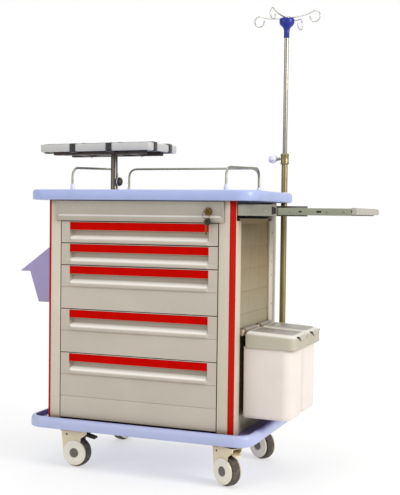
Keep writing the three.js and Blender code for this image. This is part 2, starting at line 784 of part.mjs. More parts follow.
// ---------------------------------------------------------------- castors
const FORK = {
  top: BASE_Z - GAP,
  x: [-12, 84],
  crownX: 43,
  cheekIn: 17.5,
  cheekOut: 21.5,
  cheekR: 43,
  axleR: 5,
};

// two cheeks that cover most of the wheel, a crown and a roof over it and the axle between them
function castorFork() {
  const hub = [CASTOR.trail, WHEEL_R];
  const cheekTop = FORK.top - 4;
  const cheekShape = new THREE.Shape();
  cheekShape.moveTo(FORK.x[0], cheekTop);
  cheekShape.lineTo(hub[0] - FORK.cheekR, hub[1]);
  cheekShape.absarc(hub[0], hub[1], FORK.cheekR, Math.PI, Math.PI * 2.33);
  cheekShape.lineTo(hub[0] + 23, 100);
  cheekShape.lineTo(FORK.x[1], 117);
  cheekShape.lineTo(FORK.x[1], cheekTop);
  const cheek = (from, to) => alongY(cheekShape, [from, to], 8);
  const across = [-FORK.cheekOut, FORK.cheekOut];
  const crown = block([FORK.x[0] + 1, FORK.crownX], across, [103, cheekTop - 1]);
  const roof = block([FORK.crownX - 1, FORK.x[1] - 1], across, [cheekTop - 4, cheekTop]);
  const seat = cylinder(26, [FORK.top - 12, FORK.top]);
  const axle = cylinder(FORK.axleR, [-FORK.cheekIn - 1, FORK.cheekIn + 1], 'y', 16)
    .translate(hub[0], 0, hub[1]);
  return join(
    cheek(-FORK.cheekOut, -FORK.cheekIn),
    cheek(FORK.cheekIn, FORK.cheekOut),
    crown,
    roof,
    seat,
    axle,
  );
}

function castorWheel() {
  const bore = FORK.axleR + GAP;
  return turned([
    [bore, -16],
    [38, -16],
    [WHEEL_R - 3, -15],
    [WHEEL_R, -9],
    [WHEEL_R, 9],
    [WHEEL_R - 3, 15],
    [38, 16],
    [bore, 16],
    [bore, -16],
  ], 'y', 32).translate(CASTOR.trail, 0, WHEEL_R);
}

// a foot pedal that slopes down and outward between the cheeks, from its hinge behind the crown
function brakePedal(reach) {
  const start = FORK.crownX + 2;
  return alongY(outline([
    [start, 110],
    [start, 120],
    [58, 120],
    [reach, 108],
    [reach, 101],
    [56, 112],
  ]), [-13, 13]);
}

const CASTORS = [
  { place: 'front_left', x: -274, y: -CASTOR.y, turn: 0, pedal: BLACK, reach: 110 },
  { place: 'front_right', x: 290, y: -CASTOR.y, turn: -29, pedal: CREAM, reach: 92 },
  { place: 'rear_left', x: -274, y: CASTOR.y, turn: 75 },
  { place: 'rear_right', x: 288, y: CASTOR.y, turn: -30 },
];

for (const { place, x, y, turn, pedal, reach } of CASTORS) {
  const castor = new THREE.Group();
  castor.position.set(x, y, 0);
  castor.rotation.z = THREE.MathUtils.degToRad(turn);
  cart.add(castor);
  part(`castor_${place}_fork`, castorFork(), PUTTY, castor);
  part(`castor_${place}_wheel`, castorWheel(), TYRE, castor);
  if (pedal) part(`castor_${place}_pedal`, brakePedal(reach), pedal, castor);
}

export default crashCart;
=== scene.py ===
import json
from math import atan2, cos, degrees, pi, radians, sin

import bmesh
import bpy
from mathutils import Matrix, Vector


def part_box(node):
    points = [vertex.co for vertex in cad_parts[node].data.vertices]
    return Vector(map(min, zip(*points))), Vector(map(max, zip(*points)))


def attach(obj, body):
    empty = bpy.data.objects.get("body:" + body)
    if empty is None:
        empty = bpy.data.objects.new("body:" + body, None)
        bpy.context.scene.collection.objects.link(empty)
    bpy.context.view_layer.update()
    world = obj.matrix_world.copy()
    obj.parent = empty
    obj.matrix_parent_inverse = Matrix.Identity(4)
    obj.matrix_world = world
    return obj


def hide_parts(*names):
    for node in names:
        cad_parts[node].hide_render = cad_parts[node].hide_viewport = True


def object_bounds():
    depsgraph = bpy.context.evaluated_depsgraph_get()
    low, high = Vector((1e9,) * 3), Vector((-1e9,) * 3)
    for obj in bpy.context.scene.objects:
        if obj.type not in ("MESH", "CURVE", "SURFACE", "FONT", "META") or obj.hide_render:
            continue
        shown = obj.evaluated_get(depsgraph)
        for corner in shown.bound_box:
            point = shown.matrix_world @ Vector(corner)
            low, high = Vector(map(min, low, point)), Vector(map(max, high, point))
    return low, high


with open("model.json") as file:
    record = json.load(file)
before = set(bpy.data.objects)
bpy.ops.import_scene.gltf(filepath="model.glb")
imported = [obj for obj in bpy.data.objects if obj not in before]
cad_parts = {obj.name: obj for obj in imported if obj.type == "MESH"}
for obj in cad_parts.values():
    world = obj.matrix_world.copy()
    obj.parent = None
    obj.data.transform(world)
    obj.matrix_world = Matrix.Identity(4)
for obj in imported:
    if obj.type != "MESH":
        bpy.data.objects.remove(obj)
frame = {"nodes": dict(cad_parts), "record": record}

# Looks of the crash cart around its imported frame. Lengths in the pieces below are millimetres in the
# cart's own frame: X and Y from the middle of the worktop, Z from the floor.
MM = 0.001
cad_low, cad_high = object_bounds()
top_low, top_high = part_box("worktop")
CART = Vector(((top_low.x + top_high.x) / 2, (top_low.y + top_high.y) / 2, 0))


def cart_box(node):
    return [(corner - CART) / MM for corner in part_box(node)]


def centre(node):
    low, high = cart_box(node)
    return (low + high) / 2


TOP_LOW, TOP_HIGH = cart_box("worktop")
BASE_LOW = cart_box("base_tray")[0]
BASE_RIM = BASE_LOW.z + 38  # top of the base tray's rim
TOP_FACE = TOP_HIGH.z - 3  # recessed face of the worktop
DECK = BASE_LOW.z + 21  # face of the base tray that the columns stand on
CORNER_R = 60  # outline of the worktop and the base tray
COLUMN_LOW, COLUMN_HIGH = cart_box("front_column_right")
OUTER_X = COLUMN_HIGH.x  # outer faces of the corner columns
FRONT_Y = COLUMN_LOW.y
REAR_Y = cart_box("rear_column_right")[1].y
MODULE = 75  # height of one drawer module
DRAWER_MODULES = (1, 1, 2, 2, 3)
FRONT_GAP = 1.5  # between a front and its module line
STACK_TOP = cart_box("drawer_1_front")[1].z + FRONT_GAP
POLE = centre("iv_pole_upper")
POST = centre("platform_post")
SHELF_LOW, SHELF_HIGH = cart_box("shelf_plate")
SHELF_Z = (SHELF_LOW.z + SHELF_HIGH.z) / 2


# ------ camera and light
def into_scene(name, data):
    thing = bpy.data.objects.new(name, data)
    bpy.context.scene.collection.objects.link(thing)
    return thing


CAMERA_PLACE = Vector((1340.08, -3070.71, 871.66))
CAMERA_ANGLES = (21.392, 1.929, 0.71)  # yaw, pitch down and roll, in degrees
CAMERA_LENS = 68.88  # on a 36 mm sensor
WORLD_LIGHT = 0.62  # the white world as the cart sees it; the camera sees it at 1


def make_camera():
    yaw, pitch, roll = (radians(angle) for angle in CAMERA_ANGLES)
    forward = Vector((-sin(yaw) * cos(pitch), cos(yaw) * cos(pitch), -sin(pitch)))
    level = Vector((cos(yaw), sin(yaw), 0))
    upward = level.cross(forward)
    right = cos(roll) * level + sin(roll) * upward
    up = cos(roll) * upward - sin(roll) * level
    data = bpy.data.cameras.new("camera")
    data.lens = CAMERA_LENS
    data.sensor_width = 36
    camera = into_scene("camera", data)
    turn = Matrix((right, up, -forward)).transposed().to_4x4()
    camera.matrix_world = Matrix.Translation(CART + CAMERA_PLACE * MM) @ turn
    bpy.context.scene.camera = camera


def area_light(name, place, target, size, power, colour=(1, 1, 1)):
    data = bpy.data.lights.new(name, "AREA")
    data.shape = "DISK"
    data.size = size
    data.energy = power
    data.color = colour
    light = into_scene(name, data)
    light.location = place
    light.rotation_euler = (Vector(target) - Vector(place)).to_track_quat("-Z", "Y").to_euler()


def make_studio():
    scene = bpy.context.scene
    scene.view_settings.view_transform = "Standard"
    world = bpy.data.worlds.new("studio")
    world.use_nodes = True
    tree = world.node_tree
    background = tree.nodes["Background"]
    background.inputs["Color"].default_value = (1, 1, 1, 1)
    paths = tree.nodes.new("ShaderNodeLightPath")
    strength = tree.nodes.new("ShaderNodeMapRange")
    strength.inputs["To Min"].default_value = WORLD_LIGHT
    tree.links.new(paths.outputs["Is Camera Ray"], strength.inputs["Value"])
    tree.links.new(strength.outputs["Result"], background.inputs["Strength"])
    scene.world = world
    area_light("key", (4.1, -0.9, 2.1), (0.1, 0, 0.6), 1.6, 118, (1, 0.99, 0.96))
    area_light("fill", (-2.0, -4.0, 2.2), (0, 0, 0.7), 2.4, 36)
    area_light("overhead", (0, -0.3, 3.6), (0, 0, 0.8), 2.6, 40)
    area_light("rear", (-1.6, 3.4, 2.2), (0, 0, 0.8), 2.0, 30)


# ------ materials
class Surface:
    """A Principled material and the procedural nodes that feed it, in the object's own metres."""

    def __init__(self, name, roughness, metallic=0.0, **fixed):
        self.material = bpy.data.materials.new(name)
        self.material.use_nodes = True
        self.tree = self.material.node_tree
        self.shader = self.tree.nodes["Principled BSDF"]
        for socket, value in (("Roughness", roughness), ("Metallic", metallic), *fixed.items()):
            self.shader.inputs[socket.replace("_", " ")].default_value = value
        self.place = self.add("TexCoord").outputs["Object"]

    def add(self, kind, inputs=None, **settings):
        node = self.tree.nodes.new("ShaderNode" + kind)
        for key, value in settings.items():
            setattr(node, key, value)
        for key, value in (inputs or {}).items():
            self.feed(node.inputs[key], value)
        return node

    def feed(self, socket, value):
        if isinstance(value, bpy.types.NodeSocket):
            self.tree.links.new(value, socket)
        else:
            socket.default_value = value

    def noise(self, scale, detail=3.0, stretch=(1, 1, 1)):
        scaled = self.add("Mapping", {"Vector": self.place, "Scale": stretch})
        texture = self.add("TexNoise", {
            "Vector": scaled.outputs["Vector"], "Scale": scale, "Detail": detail})
        return texture.outputs["Fac"]

    def span(self, value, source, target):
        node = self.add("MapRange", {
            "Value": value, "From Min": source[0], "From Max": source[1],
            "To Min": target[0], "To Max": target[1]})
        return node.outputs["Result"]

    def mix(self, factor, a, b, blend="MIX"):
        node = self.add("Mix", data_type="RGBA", blend_type=blend)
        for index, value in ((0, factor), (6, a), (7, b)):
            self.feed(node.inputs[index], value)
        return node.outputs[2]

    def crevice(self, distance):
        node = self.add("AmbientOcclusion", {"Distance": distance}, samples=6)
        return node.outputs["AO"]

    def bump(self, layers):
        """Adds (height, strength, distance in metres) layers of relief, one on the other."""
        normal = None
        for height, strength, distance in layers:
            node = self.add("Bump", {"Height": height, "Strength": strength, "Distance": distance})
            if normal:
                self.feed(node.inputs["Normal"], normal)
            normal = node.outputs["Normal"]
        self.feed(self.shader.inputs["Normal"], normal)

    def colour(self, value):
        self.feed(self.shader.inputs["Base Color"], value)

    def roughness(self, value):
        self.feed(self.shader.inputs["Roughness"], value)


def rgb(colour, factor=1.0):
    return (*(min(1, channel * factor) for channel in colour), 1)


def moulded_plastic(name, colour, roughness, shade_tint=(0.52, 0.40, 0.25), grain=0.22, reach=0.03,
                    shine=0.5, tanned=None, dust=0.0):
    """Injection-moulded ABS: a fine spark grain, faint mottling, scuffs, and warm painted shade in
    recesses.
    The top shade, (colour, low z, high z) in metres, is painted shade: the plastic darkens toward that
    colour over that height, most at the top.
    The last argument is how far faces that look up are paled: a painted highlight."""
    surface = Surface(name, roughness, Specular_IOR_Level=shine)
    mottle = surface.noise(9, 4)
    scuffs = surface.noise(70, 6, (1, 1, 0.16))
    base = surface.mix(surface.span(mottle, (0.3, 0.7), (0, 1)), rgb(colour, 0.955), rgb(colour, 1.035))
    # painted shade: darker toward the top of the given height, a painted shadow of what overhangs the face
    if tanned:
        split = surface.add("SeparateXYZ", {"Vector": surface.place})
        height = surface.span(split.outputs["Z"], tanned[1:], (0, 1))
        base = surface.mix(height, base, rgb(tanned[0]))
    # painted shade: recesses, creases and gaps between parts are darkened toward the shade tint where the
    # occlusion mask finds little open air
    painted_recess_shade = surface.mix(1.0, base, rgb(shade_tint), "MULTIPLY")
    open_air = surface.span(surface.crevice(reach), (0.25, 0.85), (0, 1))
    tinted = surface.mix(open_air, painted_recess_shade, base)
    # painted highlight: faces that look up are paled toward a near-white cream
    if dust:
        normal = surface.add("NewGeometry").outputs["Normal"]
        lean = surface.add("SeparateXYZ", {"Vector": normal})
        upward_highlight = surface.span(lean.outputs["Z"], (0.42, 0.8), (0, dust))
        tinted = surface.mix(upward_highlight, tinted, rgb((0.95, 0.92, 0.86)))
    scratch = surface.span(scuffs, (0.62, 0.74), (0, 0.16))
    surface.colour(surface.mix(scratch, tinted, rgb(colour, 1.12)))
    surface.roughness(surface.span(scuffs, (0.3, 0.75), (roughness - 0.05, roughness + 0.13)))
    surface.bump([(surface.noise(1500, 2), grain, 0.00012), (surface.noise(16, 2), 0.12, 0.0012)])
    return surface.material


def brushed_steel(name, colour, roughness, along=(1, 1, 1)):
    """Stainless steel drawn along one axis: fine lines, smudges and a slow change of tone."""
    surface = Surface(name, roughness, metallic=1.0)
    lines = surface.noise(900, 3, along)
    smudge = surface.noise(14, 5)
    base = surface.mix(surface.span(smudge, (0.35, 0.65), (0, 1)), rgb(colour, 0.86), rgb(colour, 1.08))
    surface.colour(surface.mix(surface.span(lines, (0.3, 0.7), (0, 0.5)), base, rgb(colour, 0.78)))
    surface.roughness(surface.span(lines, (0.3, 0.7), (roughness - 0.07, roughness + 0.1)))
    surface.bump([(lines, 0.12, 0.00008)])
    return surface.material


def rubber(name, colour):
    surface = Surface(name, 0.78)
    dust = surface.span(surface.noise(45, 5), (0.45, 0.7), (0, 0.55))
    surface.colour(surface.mix(dust, rgb(colour), rgb((0.19, 0.17, 0.14))))
    surface.bump([(surface.noise(700, 3), 0.35, 0.0002)])
    return surface.material


def webbing(name, colour):
    """Woven strap: ribs across the strap with a finer cross weave."""
    surface = Surface(name, 0.85, Sheen_Weight=0.35)
    ribs = surface.add("TexWave", {"Vector": surface.place, "Scale": 260.0, "Distortion": 0.6})
    weave = surface.add("TexWave", {"Vector": surface.place, "Scale": 420.0}, bands_direction="Y")
    thread = surface.mix(ribs.outputs["Fac"], rgb(colour, 0.6), rgb(colour, 2.2))
    surface.colour(surface.mix(surface.span(surface.noise(60), (0.4, 0.7), (0, 0.3)), thread,
                               rgb(colour, 3.0)))
    surface.bump([(ribs.outputs["Fac"], 0.6, 0.0004), (weave.outputs["Fac"], 0.4, 0.0003)])
    return surface.material


def covered_label(name, colour):
    """A bright paper strip under a clear matt cover that waves slightly."""
    surface = Surface(name, 0.6, Specular_IOR_Level=0.0)
    tone = surface.span(surface.noise(24, 3), (0.3, 0.7), (0, 1))
    surface.colour(surface.mix(tone, rgb(colour, 0.92), rgb(colour, 1.04)))
    surface.bump([(surface.noise(30, 2), 0.1, 0.0008), (surface.noise(1200, 2), 0.08, 0.0001)])
    return surface.material


def polished_brass(name, colour):
    surface = Surface(name, 0.25, metallic=1.0)
    tarnish = surface.span(surface.noise(160, 5), (0.45, 0.65), (0, 0.8))
    surface.colour(surface.mix(tarnish, rgb(colour), rgb((0.10, 0.055, 0.018))))
    surface.roughness(surface.span(surface.noise(300, 3), (0.3, 0.7), (0.18, 0.42)))
    surface.bump([(surface.noise(500, 3), 0.15, 0.0001)])
    return surface.material


def make_materials():
    def plastic(name, colour, roughness, *rest, **more):
        return name, moulded_plastic(name, colour, roughness, *rest, **more)

    return dict((
        plastic("blue_abs", (0.345, 0.405, 0.66), 0.36, (0.42, 0.36, 0.72)),
        # base tray: deep purple painted shade on the deck under the bins and the drawers
        plastic("tray_blue", (0.40, 0.44, 0.66), 0.38, (0.22, 0.12, 0.42), reach=0.09),
        plastic("cream_abs", (0.57, 0.505, 0.41), 0.46),
        # drawer fronts: painted shade deep in the finger scoops and a painted highlight on the lips that
        # face up
        plastic("putty_abs", (0.475, 0.425, 0.355), 0.46, (0.36, 0.26, 0.15), reach=0.055, dust=0.9),
        # a darker copy of the putty plastic: painted shade under the worktop's overhang, and a painted
        # highlight on the lip that faces up
        plastic("shaded_header_putty", (0.40, 0.36, 0.295), 0.46, (0.45, 0.34, 0.2), dust=0.9),
        # right side skin: a darker copy of the putty plastic, with painted shade deepening toward the top,
        # a painted shadow of the worktop and shelf
        plastic("side_skin", (0.32, 0.285, 0.20), 0.36, tanned=((0.20, 0.125, 0.026), 0.42, 0.84)),
        plastic("red_trim", (0.40, 0.008, 0.003), 0.6, (0.6, 0.4, 0.4), 0.08, shine=0.03),
        plastic("grey_abs", (0.50, 0.49, 0.475), 0.42, (0.5, 0.42, 0.36)),
        plastic("lilac_abs", (0.33, 0.28, 0.48), 0.5, (0.6, 0.5, 0.7)),
        plastic("white_abs", (0.70, 0.63, 0.58), 0.4, (0.75, 0.55, 0.42)),
        # bin lids: a painted highlight on the rounded rims that face up
        plastic("beige_abs", (0.42, 0.385, 0.305), 0.42, dust=0.75),
        plastic("lid_grey", (0.40, 0.385, 0.355), 0.4),
        plastic("handle_beige", (0.37, 0.35, 0.295), 0.44),
        plastic("castor_cream", (0.66, 0.57, 0.40), 0.42, (0.6, 0.5, 0.36)),
        plastic("castor_white", (0.74, 0.70, 0.60), 0.34, (0.6, 0.5, 0.36)),
        plastic("hub_grey", (0.115, 0.10, 0.08), 0.4, (0.5, 0.4, 0.3)),
        plastic("slide_grey", (0.235, 0.245, 0.175), 0.34, (0.5, 0.42, 0.3)),
        plastic("deep_blue_plastic", (0.010, 0.022, 0.25), 0.3, (0.5, 0.3, 0.8), 0.1, shine=0.35),
        plastic("pale_blue_plastic", (0.66, 0.67, 0.76), 0.3, (0.5, 0.5, 0.7), 0.1),
        plastic("black_plastic", (0.02, 0.016, 0.013), 0.42, (0.7, 0.6, 0.5), 0.3, shine=0.3),
        plastic("dark_frame", (0.06, 0.042, 0.032), 0.4, (0.6, 0.45, 0.4), 0.12, shine=0.3),
        ("tyre", rubber("tyre", (0.055, 0.047, 0.035))),
        ("steel", brushed_steel("steel", (0.36, 0.35, 0.285), 0.38, (1, 1, 0.02))),
        ("warm_steel", brushed_steel("warm_steel", (0.28, 0.23, 0.115), 0.4, (1, 1, 0.02))),
        # a darker copy of the steel: painted shadow of the platform on its post
        ("shaded_steel", brushed_steel("shaded_steel", (0.15, 0.135, 0.11), 0.36, (1, 1, 0.02))),
        ("bright_wire", brushed_steel("bright_wire", (0.62, 0.61, 0.56), 0.34)),
        ("brass", polished_brass("brass", (0.16, 0.10, 0.032))),
        ("strap", webbing("strap", (0.010, 0.009, 0.010))),
        ("label", covered_label("label", (0.50, 0.003, 0.0015))),
    ))


FINISH = make_materials()


# ------ meshes: a shape is (points, faces)
def merged(*shapes):
    points, faces = [], []
    for shape_points, shape_faces in shapes:
        start = len(points)
        points += shape_points
        faces += [tuple(start + corner for corner in face) for face in shape_faces]
    return points, faces


def placed(shape, offset, turn=0.0):
    matrix = Matrix.Translation(offset) @ Matrix.Rotation(radians(turn), 4, "Z")
    return [matrix @ Vector(point) for point in shape[0]], shape[1]


def mirrored(shape):
    """The same shape with left and right changed over."""
    return [Vector((-x, y, z)) for x, y, z in shape[0]], shape[1]


def loft(rings, caps=(True, True)):
    """Skins closed rings that all have the same number of points."""
    count = len(rings[0])
    faces = []
    for ring in range(len(rings) - 1):
        for i in range(count):
            j = (i + 1) % count
            here, there = ring * count, (ring + 1) * count
            faces.append((here + i, here + j, there + j, there + i))
    if caps[0]:
        faces.append(tuple(range(count)))
    if caps[1]:
        faces.append(tuple(range((len(rings) - 1) * count, len(rings) * count)))
    return [point for ring in rings for point in ring], faces


def around(count):
    """Angles evenly spread over a full turn."""
    return [2 * pi * i / count for i in range(count)]


def lathe(profile, segments=48, foot=0):
    """Turns (radius, height above the foot) pairs about Z. A radius of 0 closes an end."""
    rings = [[Vector((radius * cos(a), radius * sin(a), foot + height)) for a in around(segments)]
             for radius, height in profile]
    return loft(rings, (False, False))


def cornered(corners, z, steps):
    """A level outline through four quarter circles (x, y, radius), counterclockwise from the +X +Y one.
    z is a height or a function of x."""
    ring = []
    for quarter, (x, y, radius) in enumerate(corners):
        for step in range(steps + 1):
            angle = pi / 2 * (quarter + step / steps)
            px = x + radius * cos(angle)
            ring.append(Vector((px, y + radius * sin(angle), z(px) if callable(z) else z)))
    return ring


def rounded_ring(half_x, half_y, radius, z, steps):
    x, y = half_x - radius, half_y - radius
    return cornered([(x, y, radius), (-x, y, radius), (-x, -y, radius), (x, -y, radius)], z, steps)


def prism(section, axis, start, end):
    """Draws a 2D outline out along an axis: Y-Z along X, X-Z along Y, X-Y along Z."""
    order = {"X": lambda a, b, c: (c, a, b), "Y": lambda a, b, c: (a, c, b), "Z": lambda a, b, c: (a, b, c)}
    return loft([[Vector(order[axis](a, b, c)) for a, b in section] for c in (start, end)])


def box(low, high):
    section = [(low[0], low[1]), (high[0], low[1]), (high[0], high[1]), (low[0], high[1])]
    return prism(section, "Z", low[2], high[2])


def headings(path):
    """The direction of a path at each of its points."""
    return [(after - before).normalized() for before, after in zip(path[:1] + path, path[1:] + path[-1:])]


def tube(path, radius, sides=16):
    """A round rod along points, with its section carried along without twist."""
    heading = (path[1] - path[0]).normalized()
    across = heading.orthogonal().normalized()
    rings = []
    for point, ahead in zip(path, headings(path)):
        across = (heading.rotation_difference(ahead) @ across).normalized()
        heading = ahead
        beside = ahead.cross(across)
        rings.append([point + radius * (cos(a) * across + sin(a) * beside)
                      for a in around(sides)])
    return loft(rings)


def bent(corners, bend, steps=8):
    """Straight runs between corners, with each inner corner rounded from bend mm before it."""
    corners = [Vector(corner) for corner in corners]
    path = [corners[0]]
    for before, corner, after in zip(corners, corners[1:], corners[2:]):
        start = corner + (before - corner).normalized() * bend
        end = corner + (after - corner).normalized() * bend
        for step in range(steps + 1):
            t = step / steps
            path.append(start * (1 - t) ** 2 + corner * 2 * t * (1 - t) + end * t ** 2)
    return path + [corners[-1]]


def ball(middle, radius):
    profile = [(radius * sin(a), -radius * cos(a)) for a in (pi * i / 8 for i in range(9))]
    return placed(lathe(profile, 16), middle)


def facing(shape, direction, place):
    """Turns a shape made along +Z to point along a direction, then moves it."""
    turn = Vector((0, 0, 1)).rotation_difference(Vector(direction)).to_matrix()
    return [turn @ Vector(point) + Vector(place) for point in shape[0]], shape[1]


def screw(place, direction, radius):
    """A domed head with a round recess."""
    head = lathe([(radius, 0), (radius, radius * 0.3), (radius * 0.75, radius * 0.55),
                  (radius * 0.42, radius * 0.62), (radius * 0.4, radius * 0.2), (0, radius * 0.2)], 18)
    return facing(head, direction, place)


def add_bevel(thing, width, segments):
    if width:
        modifier = thing.modifiers.new("edges", "BEVEL")
        modifier.width = width * MM
        modifier.segments = segments
        modifier.limit_method = "ANGLE"
        modifier.angle_limit = radians(48)


def piece(name, shape, finish, body, replaces=(), bevel=0.0, segments=2, crease=38):
    mesh = bpy.data.meshes.new(name)
    mesh.from_pydata([CART + Vector(point) * MM for point in shape[0]], [], shape[1])
    work = bmesh.new()
    work.from_mesh(mesh)
    bmesh.ops.remove_doubles(work, verts=work.verts, dist=2e-6)
    bmesh.ops.recalc_face_normals(work, faces=work.faces)
    work.to_mesh(mesh)
    work.free()
    mesh.materials.append(FINISH[finish])
    mesh.shade_smooth()
    mesh.set_sharp_from_angle(angle=radians(crease))
    thing = into_scene(name, mesh)
    add_bevel(thing, bevel, segments)
    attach(thing, body)
    if replaces:
        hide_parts(*replaces)
    return thing


def finish_cad_nodes(bevels, finishes):
    """Gives every CAD node its slot's material or a named finish, and rounds its edges without moving a
    vertex."""
    for row in frame["record"]["subparts"]:
        node = frame["nodes"][row["node"]]
        node.data.materials.clear()
        node.data.materials.append(FINISH[finishes.get(row["node"], row["material_slot"])])
        custom = node.data.attributes.get("custom_normal")
        if custom:
            node.data.attributes.remove(custom)
        weld = node.modifiers.new("weld", "WELD")
        weld.merge_threshold = 2e-6
        flatten = node.modifiers.new("flatten", "DECIMATE")
        flatten.decimate_type = "DISSOLVE"
        flatten.angle_limit = radians(1)
        add_bevel(node, bevels.get(row["node"], 0.6), 2)
        node.data.shade_smooth()
        smooth = node.modifiers.new("smooth", "EDGE_SPLIT")
        smooth.split_angle = radians(38)
        smooth.use_edge_sharp = False


# ------ worktop and base tray
def slab(half_x, half_y, low, high, hollow, ceiling, recess, face, bullnose):
    """A moulded slab: a hollow underneath, a rounded edge of a given height and a raised rim round its
    face."""
    hx, hy, hr = hollow
    under = [(0, ceiling), (0, low + 3), (3, low)]
    edge = [(0, 1), (0.2, 0.42), (0.45, 0.13), (0.75, 0)]
    outer = [(6, low), (2, low + 1.6), (0, low + 5.5)]
    outer += [(part * bullnose, high - drop * bullnose) for part, drop in edge]
    outer += [(recess - 4, high - 0.4), (recess - 1, face + 0.9), (recess + 1, face)]
    rings = [rounded_ring(hx + wider, hy + wider, hr + wider, z, 10) for wider, z in under]
    rings += [rounded_ring(half_x - inset, half_y - inset, CORNER_R - inset, z, 10) for inset, z in outer]
    return loft(rings)


def make_slabs():
    half_x, half_y = TOP_HIGH.x, TOP_HIGH.y
    top = slab(half_x, half_y, TOP_LOW.z, TOP_HIGH.z, (275, 195, 12), TOP_FACE - 6, 16, TOP_FACE, 9.5)
    piece("worktop_moulding", top, "blue_abs", "frame", ["worktop"], crease=30)
    base = slab(half_x, half_y, BASE_LOW.z, BASE_RIM, (250, 165, 12), DECK - 6, 20, DECK, 13)
    socket = lathe([(12, -2), (17, -2), (17, 22), (15.5, 25), (13.5, 26), (12, 25), (12, -2)], foot=DECK)
    ribs = [box((x - 2, -half_y + 90, DECK - 17), (x + 2, half_y - 90, DECK - 5))
            for x in (-150, -50, 50, 150)]
    # the tray's finish paints deep shade on the deck under the bins
    piece("base_tray_moulding", merged(base, placed(socket, (POLE.x, POLE.y, 0)), *ribs), "tray_blue",
          "frame", ["base_tray"], crease=30)
    grommet = lathe([(11.3, -0.5), (15, -0.5), (15, 4.5), (14, 5.8), (12, 6), (11.3, 5), (11.3, -0.5)],
                    foot=TOP_FACE)
    piece("pole_grommet", placed(grommet, (POLE.x, POLE.y, 0)), "pale_blue_plastic", "frame")


# ------ body panels
PANEL_OUTER, PANEL_INNER, LEDGE_X, LEDGE_T = 336, 332, 268, 5
FLANGE_UNDER = 15.3  # from a drawer's module line down to the ledge that carries it


def drawer_levels():
    levels, top = [], STACK_TOP
    for modules in DRAWER_MODULES:
        levels.append((modules, top, top - modules * MODULE))
        top -= modules * MODULE
    return levels


def side_panel(node):
    """A skin grooved at every module line outside, with a ledge for each drawer inside."""
    low, high = cart_box(node)
    bottom, top = COLUMN_LOW.z, high.z
    outline = [(PANEL_INNER, bottom), (PANEL_OUTER, bottom)]
    for modules_down in range(8, -1, -1):
        z = STACK_TOP - modules_down * MODULE - MODULE * 0.02
        if z < top - 10:
            outline += [(PANEL_OUTER, z - 3), (PANEL_OUTER - 1.3, z - 0.6), (PANEL_OUTER - 1.3, z + 0.6),
                        (PANEL_OUTER + 0.5, z + 2.4), (PANEL_OUTER, z + 6)]
    outline += [(PANEL_OUTER, top), (PANEL_INNER, top)]
    for _, level_top, _ in drawer_levels():
        face = level_top - FLANGE_UNDER
        outline += [(PANEL_INNER, face), (LEDGE_X, face), (LEDGE_X, face - LEDGE_T),
                    (PANEL_INNER, face - LEDGE_T)]
    return prism(outline, "Y", low.y, high.y)


def make_panels():
    left = mirrored(side_panel("side_panel_left"))
    piece("side_skin_left", left, "putty_abs", "frame", ["side_panel_left"])
    right = side_panel("side_panel_right")
    # the right skin carries painted shade that the left one has not
    piece("side_skin_right", right, "side_skin", "frame", ["side_panel_right"])

    low, high = cart_box("back_panel")
    middle, half = (low + high) / 2, (high - low) / 2
    rows = [(0, 2, low.y), (0, 2, high.y), (28, 14, high.y), (33, 14, high.y - 3)]
    rings = [[Vector((p.x + middle.x, y, p.y + middle.z)) for p in
              rounded_ring(half.x - inset, half.z - inset, radius, 0, 5)] for inset, radius, y in rows]
    ribs = [box((middle.x - 200, high.y - 3.2, z - 5), (middle.x + 200, high.y - 0.8, z + 5))
            for z in (low.z + 180, middle.z, high.z - 180)]
    piece("back_cover", merged(loft(rings), *ribs), "cream_abs", "frame", ["back_panel"], bevel=0.8)
    spots = [(x, z) for x in (low.x + 14, 0, high.x - 14) for z in (low.z + 16, middle.z, high.z - 16)]
    screws = [screw((x, high.y, z), (0, 1, 0), 3.6) for x, z in spots if x or z != middle.z]
    screws += [screw((side * OUTER_X, REAR_Y - 50, z), (side, 0, 0), 2.6)
               for z in (300, 430, 560, 663, 710, 745, 813) for side in (-1, 1)]
    piece("cover_screws", merged(*screws), "steel", "frame")


# ------ moulded fronts
def moulded_front(profile, low, high, half, grip, face, back):
    """A front with a moulded middle. profile rows are (depth, height, mitre): the depth is full across
    the middle and dies away over the mitre at each end of the grip."""
    mitres = sorted({mitre for _, _, mitre in profile if mitre})
    places = [0.0] + [part * mitre for mitre in mitres for part in (0.35, 0.7, 1.0)]
    inner = sorted({grip - place for place in places}, reverse=True)
    columns = [-half] + [-x for x in inner] + sorted(inner) + [half]
    rings = []
    for x in columns:
        ring = [Vector((x, back, low)), Vector((x, back, high))]
        for depth, z, mitre in profile:
            run = min(1, max(0, (grip - abs(x)) / mitre)) if mitre else 1
            ring.append(Vector((x, face + depth * sin(run * pi / 2), z)))
        rings.append(ring)
    return loft(rings)


GRIP = 254  # half the width of a drawer's scoop and label
DRAWER_HALF = cart_box("drawer_1_front")[1].x
FRONT_BACK = -203  # rear face of the drawer fronts


